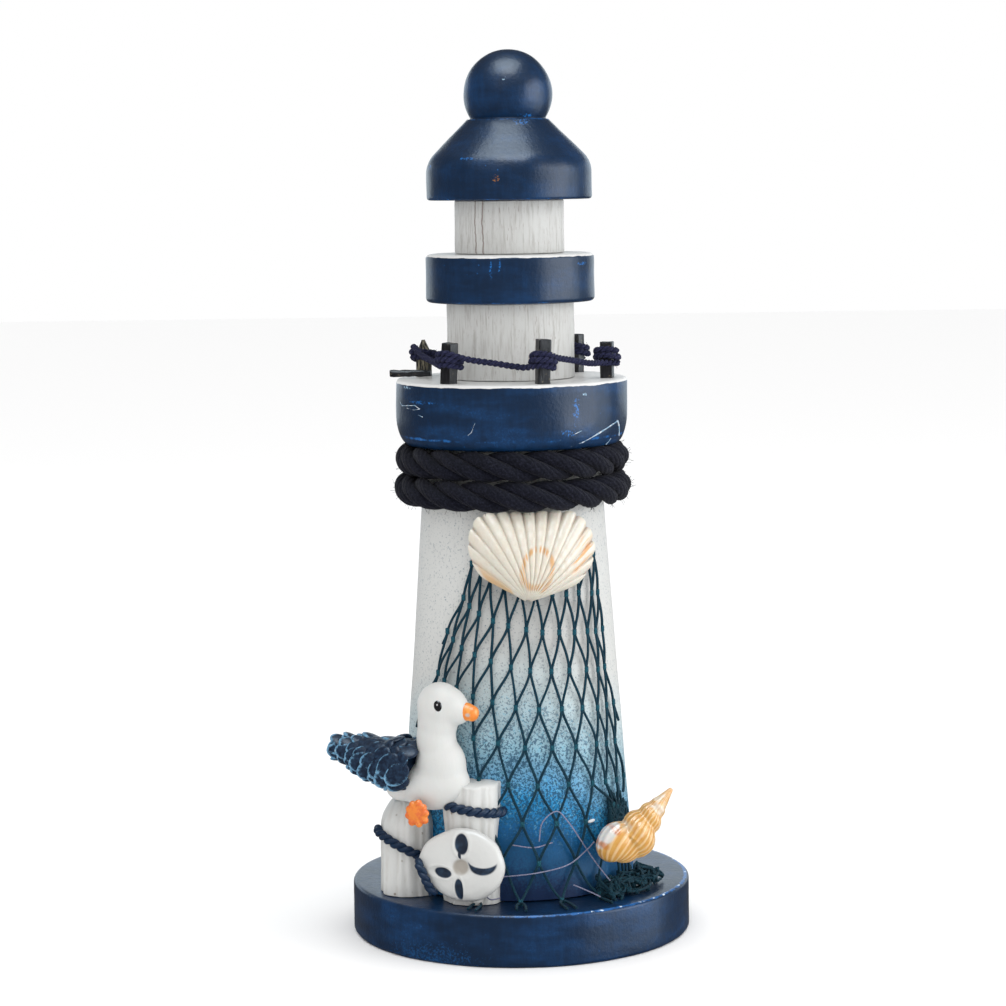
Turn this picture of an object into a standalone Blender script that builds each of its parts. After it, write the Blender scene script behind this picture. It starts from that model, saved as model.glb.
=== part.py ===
"""Painted wooden lighthouse souvenir, about 17 cm tall, with nautical trimmings.

Turned wooden pieces are stacked on dowels. A rope is wound round the top of the tower, a railing of
sticks and string stands on the gallery, and a net, two shells and a small gull group are glued on.
The origin is on the underside, on the tower's axis. The front faces -Y.
All sizes below are in millimetres and degrees, and the scene is in metres.
"""

import math

import bmesh
import bpy
from mathutils import Euler, Matrix, Vector

MM = 0.001
GAP = 0.3  # clearance between pieces that touch or rest on each other
STEPS = 48  # segments round a turned piece

BASE_RADIUS = 33.3
BASE_HEIGHT = 10.2
BASE_EDGE = 0.6
BASE_SHIFT_X = 0.7  # the base is glued on slightly off the tower's axis

TOWER_HEIGHT = 85.7
TOWER_FOOT_RADIUS = 23.2
TOWER_TOP_RADIUS = 16.95

GALLERY_RADIUS = 22.5
GALLERY_HEIGHT = 12.6
GALLERY_EDGE = 0.4
GALLERY_ROUNDING = 5.2  # height over which the lower edge curves in
GALLERY_TUCK = 2.1  # how far it curves in

LOWER_DRUM_RADIUS = 12.4
LOWER_DRUM_HEIGHT = 14.3
UPPER_DISC_RADIUS = 16.35
UPPER_DISC_HEIGHT = 9.3
UPPER_DISC_EDGE = 0.8
UPPER_DRUM_RADIUS = 10.6
UPPER_DRUM_HEIGHT = 9.8
DRUM_EDGE = 0.3

CAP_RADIUS = 16.05
CAP_SIDE_HEIGHT = 5.2
CAP_SHOULDER = 5.0  # radius of the rounding between the cap's side and its cone
CAP_SLOPE = 45.0
CAP_TOP_RADIUS = 7.9
CAP_EDGE = 0.5
BALL_RADIUS = 8.6
BALL_SEAT_DROP = 4.5  # the ball's flat seat is this far below its centre

SPINE_RADIUS = 3.0
SPINE_TOWER_DEPTH = 15.0
SPINE_CAP_DEPTH = 7.5
FOOT_DOWEL_RADIUS = 4.0
FOOT_BASE_DEPTH = 6.5
FOOT_TOWER_DEPTH = 9.0
FINIAL_DOWEL_RADIUS = 1.5
FINIAL_CAP_DEPTH = 4.5
FINIAL_BALL_DEPTH = 6.0

POST_SIZE = 2.4
POST_DEPTH = 3.5
POST_INSET = 3.5  # from the gallery's rim to the posts' circle
POST_AZIMUTHS = (-39, 18, 78, 135, 190, 245)  # from the front, towards +X
POST_HEIGHTS = (7.7, 8.4, 7.0, 7.6, 7.4, 7.1)
POST_LEANS = (3.5, 2.0, 0.5, -0.5, 0.0, 1.5)
STRING_DIAMETER = 1.1
STRING_HEIGHT = 3.3  # of the lowest wrap above the gallery
STRING_RISE = 1.5  # climb of one wrap round a post
STRING_WRAP_POINTS = 10
STRING_WRAP_EXPONENT = 3.6  # how square a wrap is
PEG_DIAMETER = 1.3
PEG_LENGTH = 8.0
PEG_AZIMUTH = -95.0
PEG_OVERHANG = 1.3

ROPE_DIAMETER = 5.1
ROPE_PITCH = 5.6
ROPE_TOP = 0.8  # from the gallery's underside to the rope
ROPE_START = 120.0  # azimuth where the rope begins, measured from +X
ROPE_STEP = 60.0  # angle over which it steps down to its second turn
ROPE_POINTS_PER_TURN = 36

NET_TWINE = 0.8
NET_DROP = 7.6  # from the rope to the net's top row of knots, under the scallop
NET_ROWS = 9  # below the top one; the last lies at the tower's foot
NET_SPREAD = 1.5  # height of net left over at the foot
NET_COLUMNS = 11
NET_LEFT_COLUMN = -4.5
NET_SPACING = 1.92  # between columns in the top row
NET_FLARE = 0.083  # how fast the spacing grows downwards
NET_SHIFT = 0.4  # of the net's middle column at the foot, to the right of the tower's front
NET_LEAN = 0.05  # how fast that column runs to the right going up
NET_EVEN_COLUMNS = 2.5  # columns past this one are drawn together
NET_BUNCH = 1.6
NET_GULL_TOP = 35.8  # above the base: below this the gull group covers the net's left side
NET_GULL_SIDE = -18.0

HEAP_RADIUS = 2.2
HEAP_FROM, HEAP_TO = 40.0, 84.0  # azimuths from the front, towards +X
HEAP_CLEAR = 1.6  # from the tower's foot

SCALLOP_WIDTH = 24.0
SCALLOP_HEIGHT = 17.0
SCALLOP_DEPTH = 4.9
SCALLOP_WALL = 0.9
SCALLOP_AZIMUTH = 11.0
SCALLOP_RIBS = 11

SHELL_LENGTH = 21.5
SHELL_WHORLS = ((0.0, 1.6), (0.14, 4.6), (0.36, 5.6), (0.52, 4.9), (0.56, 4.2), (0.72, 3.3), (0.75, 2.9),
                (0.88, 1.7), (0.9, 1.4))  # share of the length from the mouth end, and radius
# where the glued trimmings stand: azimuth from the front towards +X, distance off the tower's side,
# and height above the base
SHELL_PLACE = (46.4, 7.45, 11.3)
SHELL_BODY = 0.36  # share of its length where it is widest
SHELL_LEAN = 42.0
SHELL_TURN = 16.0

GULL_TURN = -24.0
GULL_PLACE = (-36.2, 4.2, 23.0)
GULL_LUMPS = (  # name, radii, place from the gull's middle, and tilt
    ("body", (8.8, 4.9, 6.4), (0.2, 0.0, 0.9), -28.0),
    ("neck", (4.2, 3.9, 9.4), (1.9, 0.0, 7.6), -4.0),
    ("head", (5.0, 4.4, 4.7), (1.3, 0.0, 14.9), 10.0),
    ("beak", (3.3, 1.9, 2.0), (6.2, 0.0, 13.5), 14.0),
    ("wing", (9.8, 5.8, 5.4), (-9.0, -0.4, 5.4), 28.0),
    ("tail", (6.6, 2.6, 2.7), (-15.6, 0.0, 8.0), 14.0),
)
LEFT_PILING_PLACE = (-58.2, 1.5, 0.0)
LEFT_PILING_RADIUS = 5.4
LEFT_PILING_HEIGHT = 19.8
RIGHT_PILING_PLACE = (-23.0, -1.7, 0.0)
RIGHT_PILING_RADIUS = 6.0
RIGHT_PILING_HEIGHT = 23.0
PILING_TAPER = 0.94
PILING_EDGE = 0.8
RING_PLACE = (-20.9, 5.2, 8.2)
RING_RADIUS = 7.9
RING_HEIGHT_SHARE = 0.92
RING_THICKNESS = 3.8
RING_EDGE = 1.4
RING_AZIMUTH = -20.0

TOWER_FLOOR = BASE_HEIGHT + GAP
TOWER_TOP = TOWER_FLOOR + TOWER_HEIGHT
GALLERY_FLOOR = TOWER_TOP + GAP
GALLERY_TOP = GALLERY_FLOOR + GALLERY_HEIGHT
LOWER_DRUM_FLOOR = GALLERY_TOP + GAP
UPPER_DISC_FLOOR = LOWER_DRUM_FLOOR + LOWER_DRUM_HEIGHT + GAP
UPPER_DRUM_FLOOR = UPPER_DISC_FLOOR + UPPER_DISC_HEIGHT + GAP
CAP_FLOOR = UPPER_DRUM_FLOOR + UPPER_DRUM_HEIGHT + GAP
POST_CIRCLE = GALLERY_RADIUS - POST_INSET
ROPE_FLOOR = GALLERY_FLOOR - ROPE_TOP - ROPE_DIAMETER - ROPE_PITCH
NET_TOP = ROPE_FLOOR - NET_DROP
NET_ROW = (NET_TOP - TOWER_FLOOR + NET_SPREAD) / NET_ROWS  # height between rows of knots
NET_COVER = GAP + 1.5 * NET_TWINE  # from the tower to the net's outer side
OVER_NET = NET_COVER + GAP + 0.1  # what is glued over the net stays this far off the tower

GLOSS_NAVY = ((0.008, 0.03, 0.1), 0.18, 0.0)
WHITE_WOOD = ((0.75, 0.75, 0.72), 0.6, 0.0)
FADED_TOWER = ((0.35, 0.55, 0.68), 0.5, 0.0)
BARE_WOOD = ((0.6, 0.42, 0.24), 0.7, 0.0)
BLACK_STICK = ((0.01, 0.01, 0.012), 0.35, 0.0)
NAVY_ROPE = ((0.015, 0.017, 0.03), 0.9, 0.0)
NET_TEAL = ((0.006, 0.04, 0.07), 0.8, 0.0)
CREAM_SHELL = ((0.85, 0.78, 0.66), 0.45, 0.0)
AMBER_SHELL = ((0.75, 0.45, 0.16), 0.35, 0.0)
WHITE_RESIN = ((0.82, 0.82, 0.8), 0.45, 0.0)


def new_collection(name):
    made = bpy.data.collections.new(name)
    bpy.context.scene.collection.children.link(made)
    return made


def material(name, look):
    """A Principled material from a (colour, roughness, metallic) look."""
    colour, roughness, metallic = look
    made = bpy.data.materials.get(name) or bpy.data.materials.new(name)
    made.use_nodes = True
    shader = made.node_tree.nodes["Principled BSDF"]
    shader.inputs["Base Color"].default_value = (*colour, 1.0)
    shader.inputs["Roughness"].default_value = roughness
    shader.inputs["Metallic"].default_value = metallic
    return made


def piece_from_bmesh(name, bm, look, collection):
    """Links a bmesh, drawn in millimetres, as a new object in metres."""
    bmesh.ops.scale(bm, vec=(MM, MM, MM), verts=bm.verts)
    mesh = bpy.data.meshes.new(name)
    bm.to_mesh(mesh)
    bm.free()
    mesh.shade_smooth()
    mesh.set_sharp_from_angle(angle=math.radians(35))
    piece = bpy.data.objects.new(name, mesh)
    collection.objects.link(piece)
    mesh.materials.append(material(name.rstrip("_0123456789"), look))
    return piece


def arc(centre, radius, start, end, steps):
    """Points (radius, height) on an arc round a centre, between two angles in degrees."""
    turns = (math.radians(start + (end - start) * i / steps) for i in range(steps + 1))
    return [(centre[0] + radius * math.cos(a), centre[1] + radius * math.sin(a)) for a in turns]


def turned(name, outline, look, collection, steps=STEPS):
    """A turned piece: an outline of (radius, height), running down its outer side, on a Screw modifier.
    An outline that starts and ends on the axis is left open there, and any other is closed into a ring."""
    bm = bmesh.new()
    verts = [bm.verts.new((r, 0, z)) for r, z in outline]
    for first, second in zip(verts, verts[1:]):
        bm.edges.new((first, second))
    if outline[0][0] > 0:
        bm.edges.new((verts[-1], verts[0]))
    piece = piece_from_bmesh(name, bm, look, collection)
    screw = piece.modifiers.new("turn", "SCREW")
    screw.steps = screw.render_steps = steps
    screw.use_merge_vertices = True
    screw.merge_threshold = 0.00001
    return piece


def tube(name, points, radius, look, collection, resolution=2):
    """A round wire or rope through points in millimetres."""
    curve = bpy.data.curves.new(name, "CURVE")
    curve.dimensions = "3D"
    curve.bevel_depth = radius * MM
    curve.bevel_resolution = resolution
    curve.use_fill_caps = True
    spline = curve.splines.new("POLY")
    spline.points.add(len(points) - 1)
    for point, place in zip(spline.points, points):
        point.co = (*(Vector(place) * MM), 1.0)
    curve.materials.append(material(name, look))
    piece = bpy.data.objects.new(name, curve)
    collection.objects.link(piece)
    return piece


def boolean(piece, operation, other):
    """Cuts or joins with another piece, which becomes a hidden helper."""
    other.hide_render = True
    other.display_type = "WIRE"
    modifier = piece.modifiers.new(f"{operation.lower()} {other.name}", "BOOLEAN")
    modifier.operation = operation
    modifier.object = other
    modifier.solver = "EXACT"
    return piece


def box(name, size, look, collection):
    bm = bmesh.new()
    bmesh.ops.create_cube(bm, size=1.0)
    bmesh.ops.scale(bm, vec=size, verts=bm.verts)
    return piece_from_bmesh(name, bm, look, collection)


def ellipsoid(name, radii, place, turn, look, collection, segments=16):
    """An ellipsoid with its long axes turned by an Euler angle in degrees."""
    bm = bmesh.new()
    bmesh.ops.create_uvsphere(bm, u_segments=segments, v_segments=segments // 2, radius=1.0)
    stand = Euler([math.radians(a) for a in turn]).to_matrix().to_4x4()
    stretch = Matrix.Diagonal((*radii, 1.0))
    bmesh.ops.transform(bm, matrix=Matrix.Translation(place) @ stand @ stretch, verts=bm.verts)
    return piece_from_bmesh(name, bm, look, collection)


def front_point(azimuth, radius, height):
    """A point at an azimuth counted from the front (-Y) towards +X."""
    angle = math.radians(azimuth)
    return Vector((radius * math.sin(angle), -radius * math.cos(angle), height))


def rotation(angle, axis):
    return Matrix.Rotation(math.radians(angle), 4, axis)


def tower_radius(height):
    share = (height - TOWER_FLOOR) / TOWER_HEIGHT
    return TOWER_FOOT_RADIUS + (TOWER_TOP_RADIUS - TOWER_FOOT_RADIUS) * share


def glued_point(place):
    """The point at an azimuth, a distance off the tower's side and a height above the base."""
    azimuth, distance, height = place
    return front_point(azimuth, tower_radius(BASE_HEIGHT + height) + distance, BASE_HEIGHT + height)


def base_disc(parts, cutters):
    edge = BASE_EDGE
    side = BASE_RADIUS - edge
    outline = [(0, BASE_HEIGHT)] + arc((side, BASE_HEIGHT - edge), edge, 90, 0, 2)
    outline += arc((side, edge), edge, 0, -90, 2) + [(0, 0)]
    piece = turned("base_disc", outline, GLOSS_NAVY, parts)
    piece.location.x = BASE_SHIFT_X * MM
    floor = BASE_HEIGHT - FOOT_BASE_DEPTH
    radius = FOOT_DOWEL_RADIUS + GAP
    bore = turned("foot_bore", [(0, TOWER_FLOOR), (radius, TOWER_FLOOR), (radius, floor), (0, floor)],
                  BARE_WOOD, cutters, 24)
    boolean(piece, "DIFFERENCE", bore)


def tower_body(parts):
    spine_hole = SPINE_RADIUS + GAP
    foot_hole = FOOT_DOWEL_RADIUS + GAP
    spine_floor = TOWER_TOP - SPINE_TOWER_DEPTH
    foot_roof = TOWER_FLOOR + FOOT_TOWER_DEPTH
    outline = [(0, spine_floor), (spine_hole, spine_floor), (spine_hole, TOWER_TOP)]
    outline += [(TOWER_TOP_RADIUS, TOWER_TOP), (TOWER_FOOT_RADIUS, TOWER_FLOOR)]
    outline += [(foot_hole, TOWER_FLOOR), (foot_hole, foot_roof), (0, foot_roof)]
    turned("tower_body", outline, FADED_TOWER, parts)


def ring_with_edge(name, radius, floor, height, edge, look, parts):
    """A turned ring with rounded outer edges, bored for the spine dowel."""
    hole = SPINE_RADIUS + GAP
    top = floor + height
    outline = [(hole, top)] + arc((radius - edge, top - edge), edge, 90, 0, 2)
    outline += arc((radius - edge, floor + edge), edge, 0, -90, 2) + [(hole, floor)]
    return turned(name, outline, look, parts)


def gallery_disc(parts, cutters):
    """The gallery, with a lower edge that curves in, and a square socket for each post."""
    hole = SPINE_RADIUS + GAP
    edge = GALLERY_EDGE
    curve = [(GALLERY_RADIUS - GALLERY_TUCK * (1 - math.cos(angle)),
              GALLERY_FLOOR + GALLERY_ROUNDING * (1 - math.sin(angle)))
             for angle in (math.radians(90 * i / 4) for i in range(5))]
    outline = [(hole, GALLERY_TOP)] + arc((GALLERY_RADIUS - edge, GALLERY_TOP - edge), edge, 90, 0, 2)
    outline += curve + [(hole, GALLERY_FLOOR)]
    piece = turned("gallery_disc", outline, GLOSS_NAVY, parts)
    size = POST_SIZE + 2 * GAP
    for number, (azimuth, lean) in enumerate(zip(POST_AZIMUTHS, POST_LEANS), 1):
        depth = 2 * (POST_DEPTH + GAP)
        socket = box(f"post_socket_{number}", (size, size, depth), BARE_WOOD, cutters)
        place_post(socket, azimuth, lean, 0.0)
        boolean(piece, "DIFFERENCE", socket)


def place_post(piece, azimuth, lean, along):
    """Stands a post, or its socket, on the gallery: along is its middle's distance up the leaning line."""
    turn = rotation(azimuth, "Z")
    tilt = rotation(lean, "Y")
    foot = Matrix.Translation(front_point(azimuth, POST_CIRCLE, GALLERY_TOP) * MM)
    piece.matrix_world = foot @ turn @ tilt @ Matrix.Translation((0, 0, along * MM))


def rail_posts(parts):
    for number, (azimuth, height, lean) in enumerate(zip(POST_AZIMUTHS, POST_HEIGHTS, POST_LEANS), 1):
        post = box(f"rail_post_{number}", (POST_SIZE, POST_SIZE, POST_DEPTH + height), BLACK_STICK, parts)
        place_post(post, azimuth, lean, (height - POST_DEPTH) / 2)


def rail_string(parts):
    """One string that takes a full wrap round each post in turn, starting and ending at the fourth."""
    points = []
    reach = POST_SIZE / 2 + GAP + STRING_DIAMETER / 2
    order = [3, 4, 5, 0, 1, 2]
    for stop, index in enumerate(order):
        azimuth = POST_AZIMUTHS[index]
        foot = front_point(azimuth, POST_CIRCLE, GALLERY_TOP)
        lean = math.radians(POST_LEANS[index])
        turns = 1.0 if stop in (0, len(order) - 1) else 1.15
        for i in range(STRING_WRAP_POINTS + 1):
            share = i / STRING_WRAP_POINTS
            # the wrap starts on the post's outer side and runs round it once, climbing as it goes
            angle = math.tau * turns * (share - 0.5) - math.pi / 2
            side, out = math.cos(angle), math.sin(angle)
            n = STRING_WRAP_EXPONENT
            radius = reach / (abs(side) ** n + abs(out) ** n) ** (1 / n)
            height = STRING_HEIGHT + STRING_RISE * share
            local = Vector((side * radius + math.tan(lean) * height, out * radius, height))
            points.append(foot + Matrix.Rotation(math.radians(azimuth), 3, "Z") @ local)
    tube("rail_string", points, STRING_DIAMETER / 2, NAVY_ROPE, parts)


def lying_peg(parts):
    """A loose stick glued flat on the gallery, its end just past the rim."""
    bm = bmesh.new()
    radius = PEG_DIAMETER / 2
    bmesh.ops.create_cone(bm, cap_ends=True, segments=12, radius1=radius, radius2=radius, depth=PEG_LENGTH)
    along = GALLERY_RADIUS + PEG_OVERHANG - PEG_LENGTH / 2
    middle = front_point(PEG_AZIMUTH, along, GALLERY_TOP + GAP + radius)
    lie = rotation(PEG_AZIMUTH, "Z") @ rotation(90, "X")
    bmesh.ops.transform(bm, matrix=Matrix.Translation(middle) @ lie, verts=bm.verts)
    piece_from_bmesh("lying_peg", bm, BLACK_STICK, parts)


def stacked_pieces(parts):
    hole = SPINE_RADIUS + GAP
    ring_with_edge("lower_drum", LOWER_DRUM_RADIUS, LOWER_DRUM_FLOOR, LOWER_DRUM_HEIGHT, DRUM_EDGE,
                   WHITE_WOOD, parts)
    ring_with_edge("upper_disc", UPPER_DISC_RADIUS, UPPER_DISC_FLOOR, UPPER_DISC_HEIGHT, UPPER_DISC_EDGE,
                   GLOSS_NAVY, parts)
    ring_with_edge("upper_drum", UPPER_DRUM_RADIUS, UPPER_DRUM_FLOOR, UPPER_DRUM_HEIGHT, DRUM_EDGE,
                   WHITE_WOOD, parts)

    slope = math.radians(CAP_SLOPE)
    shoulder = (CAP_RADIUS - CAP_SHOULDER, CAP_FLOOR + CAP_SIDE_HEIGHT)
    leave = (shoulder[0] + CAP_SHOULDER * math.sin(slope), shoulder[1] + CAP_SHOULDER * math.cos(slope))
    cap_top = leave[1] + (leave[0] - CAP_TOP_RADIUS) * math.tan(slope)
    finial_hole = FINIAL_DOWEL_RADIUS + GAP
    finial_floor = cap_top - FINIAL_CAP_DEPTH
    spine_roof = CAP_FLOOR + SPINE_CAP_DEPTH
    outline = [(0, finial_floor), (finial_hole, finial_floor)]
    outline += [(finial_hole, cap_top), (CAP_TOP_RADIUS, cap_top)]
    outline += arc(shoulder, CAP_SHOULDER, 90 - CAP_SLOPE, 0, 3)
    outline += arc((CAP_RADIUS - CAP_EDGE, CAP_FLOOR + CAP_EDGE), CAP_EDGE, 0, -90, 2)
    outline += [(hole, CAP_FLOOR), (hole, spine_roof), (0, spine_roof)]
    turned("roof_cap", outline, GLOSS_NAVY, parts)

    seat = cap_top + GAP
    centre = (0, seat + BALL_SEAT_DROP)
    low = -math.degrees(math.asin(BALL_SEAT_DROP / BALL_RADIUS))
    ball_roof = seat + FINIAL_BALL_DEPTH
    outline = [(0, centre[1] + BALL_RADIUS)] + arc(centre, BALL_RADIUS, 80, low, 13)
    outline += [(finial_hole, seat), (finial_hole, ball_roof), (0, ball_roof)]
    turned("ball_finial", outline, GLOSS_NAVY, parts, 32)

    foot_floor, foot_roof = BASE_HEIGHT - FOOT_BASE_DEPTH, TOWER_FLOOR + FOOT_TOWER_DEPTH
    dowel("foot_dowel", FOOT_DOWEL_RADIUS, foot_floor, foot_roof, parts)
    dowel("spine_dowel", SPINE_RADIUS, TOWER_TOP - SPINE_TOWER_DEPTH, spine_roof, parts)
    dowel("finial_dowel", FINIAL_DOWEL_RADIUS, finial_floor, ball_roof, parts)


def dowel(name, radius, floor, roof, parts):
    """A dowel between the floor and the roof of its two blind holes, clear of both."""
    low, high = floor + GAP, roof - GAP
    turned(name, [(0, high), (radius, high), (radius, low), (0, low)], BARE_WOOD, parts, 24)


def rope_wrap(parts):
    """Two turns of rope under the gallery. The step from the first to the second is at the back."""
    reach = GAP + ROPE_DIAMETER / 2
    first = GALLERY_FLOOR - ROPE_TOP - ROPE_DIAMETER / 2
    sweep = 720.0 - ROPE_STEP
    count = round(ROPE_POINTS_PER_TURN * sweep / 360)
    points = []
    for i in range(count + 1):
        angle = sweep * i / count
        share = min(max((angle - (360.0 - ROPE_STEP)) / ROPE_STEP, 0.0), 1.0)
        height = first - ROPE_PITCH * share * share * (3 - 2 * share)
        radius = tower_radius(height - ROPE_DIAMETER / 2) + reach
        turn = math.radians(ROPE_START + angle)
        points.append((radius * math.cos(turn), radius * math.sin(turn), height))
    tube("rope_wrap", points, ROPE_DIAMETER / 2, NAVY_ROPE, parts)


def net_spacing(height):
    return NET_SPACING + NET_FLARE * (NET_TOP - height)


def net_place(column, height):
    """Where a knot lies on the tower. The net widens downwards and is drawn together at its right side."""
    even = NET_EVEN_COLUMNS
    if column > even:
        column = even + NET_BUNCH * (1 - math.exp((even - column) / NET_BUNCH))
    arc_length = NET_SHIFT + NET_LEAN * (height - TOWER_FLOOR) + net_spacing(height) * column
    radius = tower_radius(height)
    return front_point(math.degrees(arc_length / radius), radius + GAP + NET_TWINE, height)


def fishing_net(parts):
    """A lattice of diamonds: a square grid turned by 45 degrees, trimmed to the net's outline and laid
    on the tower."""
    bm = bmesh.new()
    size = NET_ROWS + NET_COLUMNS
    bmesh.ops.create_grid(bm, x_segments=2 * size, y_segments=2 * size, size=size)
    heap_top = TOWER_FLOOR + 2 * HEAP_RADIUS + 2 * GAP + NET_TWINE
    outside = []
    for vert in bm.verts:
        column, row = (vert.co.x - vert.co.y + 1) / 2, vert.co.x + vert.co.y
        height = max(NET_TOP - NET_ROW * row, TOWER_FLOOR + NET_TWINE)
        vert.co = net_place(column, height)
        over_heap = column >= NET_EVEN_COLUMNS and height < heap_top
        behind_gull = height < BASE_HEIGHT + NET_GULL_TOP and column * net_spacing(height) < NET_GULL_SIDE
        in_columns = NET_LEFT_COLUMN <= column <= NET_LEFT_COLUMN + NET_COLUMNS
        if not in_columns or not -0.5 < row < NET_ROWS + 0.5 or over_heap or behind_gull:
            outside.append(vert)
    bmesh.ops.delete(bm, geom=outside, context="VERTS")
    bmesh.ops.delete(bm, geom=[e for e in bm.edges if not e.link_faces], context="EDGES")
    bmesh.ops.delete(bm, geom=[v for v in bm.verts if not v.link_faces], context="VERTS")
    piece = piece_from_bmesh("fishing_net", bm, NET_TEAL, parts)
    wires = piece.modifiers.new("twine", "WIREFRAME")
    wires.thickness = NET_TWINE * MM
    wires.use_boundary = True
    wires.use_even_offset = False


def net_heap(parts):
    """The net's loose end, crumpled in a low heap round the tower's foot."""
    steps = 12
    radius = TOWER_FOOT_RADIUS + HEAP_CLEAR + HEAP_RADIUS
    height = BASE_HEIGHT + GAP + HEAP_RADIUS
    turns = [HEAP_FROM + (HEAP_TO - HEAP_FROM) * i / steps for i in range(steps + 1)]
    tube("net_heap", [front_point(a, radius, height) for a in turns], HEAP_RADIUS, NET_TEAL, parts)


def scallop_shell(parts):
    """A ribbed half shell: the cap of a sphere drawn out to a fan, hollow side to the tower."""
    bm = bmesh.new()
    bmesh.ops.create_uvsphere(bm, u_segments=3 * SCALLOP_RIBS, v_segments=12, radius=1.0)
    bmesh.ops.delete(bm, geom=[v for v in bm.verts if v.co.z < -0.01], context="VERTS")
    for vert in bm.verts:
        around = math.atan2(vert.co.y, vert.co.x)
        out = math.hypot(vert.co.x, vert.co.y)
        flank = 1.0 - 0.16 * max(-math.sin(around), 0.0) * abs(math.sin(2 * around))
        rib = 1.0 + 0.02 * math.cos(SCALLOP_RIBS * around) * out
        vert.co = (SCALLOP_WIDTH / 2 * out * flank * math.cos(around) * rib,
                   SCALLOP_HEIGHT / 2 * out * flank * math.sin(around) * rib,
                   SCALLOP_DEPTH * vert.co.z)
    height = ROPE_FLOOR - GAP - SCALLOP_HEIGHT / 2
    over_net = tower_radius(height) + OVER_NET
    slope = math.atan2(TOWER_FOOT_RADIUS - TOWER_TOP_RADIUS, TOWER_HEIGHT)
    place = Matrix.Translation(front_point(SCALLOP_AZIMUTH, over_net, height))
    stand = rotation(SCALLOP_AZIMUTH, "Z") @ Matrix.Rotation(math.pi / 2 - slope, 4, "X")
    bmesh.ops.transform(bm, matrix=place @ stand, verts=bm.verts)
    piece = piece_from_bmesh("scallop_shell", bm, CREAM_SHELL, parts)
    wall = piece.modifiers.new("wall", "SOLIDIFY")
    wall.thickness = SCALLOP_WALL * MM
    wall.offset = -1.0


def spiral_shell(parts):
    """A small pointed sea snail's shell, leaning against the tower with its tip up."""
    shares = [(radius, share * SHELL_LENGTH) for share, radius in SHELL_WHORLS]
    outline = [(0, SHELL_LENGTH)] + shares[::-1] + [(0, 0)]
    piece = turned("spiral_shell", outline, AMBER_SHELL, parts, 20)
    body = SHELL_BODY * SHELL_LENGTH
    turn = rotation(SHELL_TURN, "Z") @ rotation(SHELL_LEAN, "Y")
    middle = Matrix.Translation(glued_point(SHELL_PLACE) * MM)
    piece.matrix_world = middle @ turn @ Matrix.Translation((0, 0, -body * MM))


def group_clearance(cutters):
    """A cone round the tower that the glued group's pieces are cut back to."""
    top, foot = tower_radius(TOWER_TOP) + OVER_NET, tower_radius(0) + OVER_NET
    outline = [(0, TOWER_TOP), (top, TOWER_TOP), (foot, 0), (0, 0)]
    return turned("group_clearance", outline, WHITE_RESIN, cutters)


def gull(name, collection, cutters, grow=0.0):
    """The gull: an egg-shaped body with folded wings and a tail, a neck, a head and a blunt beak.
    Grown by a clearance, it is the cutter that seats it on the pilings."""
    middle = glued_point(GULL_PLACE)
    turn = Matrix.Rotation(math.radians(GULL_TURN), 3, "Z")
    body = None
    for lump, radii, place, tilt in GULL_LUMPS:
        radii = [radius + grow for radius in radii]
        home = cutters if body else collection
        made = ellipsoid(f"{name}_{lump}" if body else name, radii, middle + turn @ Vector(place),
                         (0, tilt, GULL_TURN), WHITE_RESIN, home)
        if body:
            boolean(body, "UNION", made)
        body = body or made
    return body


def piling(name, place, radius, height, parts):
    """A mooring post with a rounded head."""
    bm = bmesh.new()
    bmesh.ops.create_cone(bm, cap_ends=True, segments=28, radius1=radius, radius2=radius * PILING_TAPER,
                          depth=height - GAP)
    rim = [e for e in bm.edges if all(v.co.z > 0 for v in e.verts)]
    bmesh.ops.bevel(bm, geom=rim, offset=PILING_EDGE, segments=2, affect="EDGES", profile=0.5, material=-1)
    middle = glued_point(place) + Vector((0, 0, (height + GAP) / 2))
    bmesh.ops.translate(bm, vec=middle, verts=bm.verts)
    return piece_from_bmesh(name, bm, WHITE_RESIN, parts)


def life_ring(name, collection, grow=0.0):
    """The round life belt that leans on the right piling. Grown by a clearance, it cuts its own seat."""
    bm = bmesh.new()
    radius = RING_RADIUS + grow
    bmesh.ops.create_cone(bm, cap_ends=True, segments=36, radius1=radius, radius2=radius - 0.5,
                          depth=RING_THICKNESS + 2 * grow)
    front = [e for e in bm.edges if all(v.co.z > 0 for v in e.verts)]
    bmesh.ops.bevel(bm, geom=front, offset=RING_EDGE, segments=3, affect="EDGES", profile=0.5, material=-1)
    bmesh.ops.scale(bm, vec=(1, RING_HEIGHT_SHARE, 1), verts=bm.verts)
    place = Matrix.Translation(glued_point(RING_PLACE))
    stand = rotation(RING_AZIMUTH, "Z") @ rotation(90, "X")
    bmesh.ops.transform(bm, matrix=place @ stand, verts=bm.verts)
    return piece_from_bmesh(name, bm, WHITE_RESIN, collection)


def gull_group(parts, cutters):
    """The gull on two pilings with a life belt. The pilings are cut clear of the bird, the belt and
    the tower."""
    clearance = group_clearance(cutters)
    bird_seat = gull("gull_seat", cutters, cutters, GAP)
    ring_seat = life_ring("ring_seat", cutters, GAP)
    pilings = [piling("left_piling", LEFT_PILING_PLACE, LEFT_PILING_RADIUS, LEFT_PILING_HEIGHT, parts),
               piling("right_piling", RIGHT_PILING_PLACE, RIGHT_PILING_RADIUS, RIGHT_PILING_HEIGHT, parts)]
    for piece in pilings:
        boolean(piece, "DIFFERENCE", clearance)
        boolean(piece, "DIFFERENCE", bird_seat)
        boolean(piece, "DIFFERENCE", ring_seat)
    for piece in (life_ring("life_ring", parts), gull("gull", parts, cutters)):
        boolean(piece, "DIFFERENCE", clearance)


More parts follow.
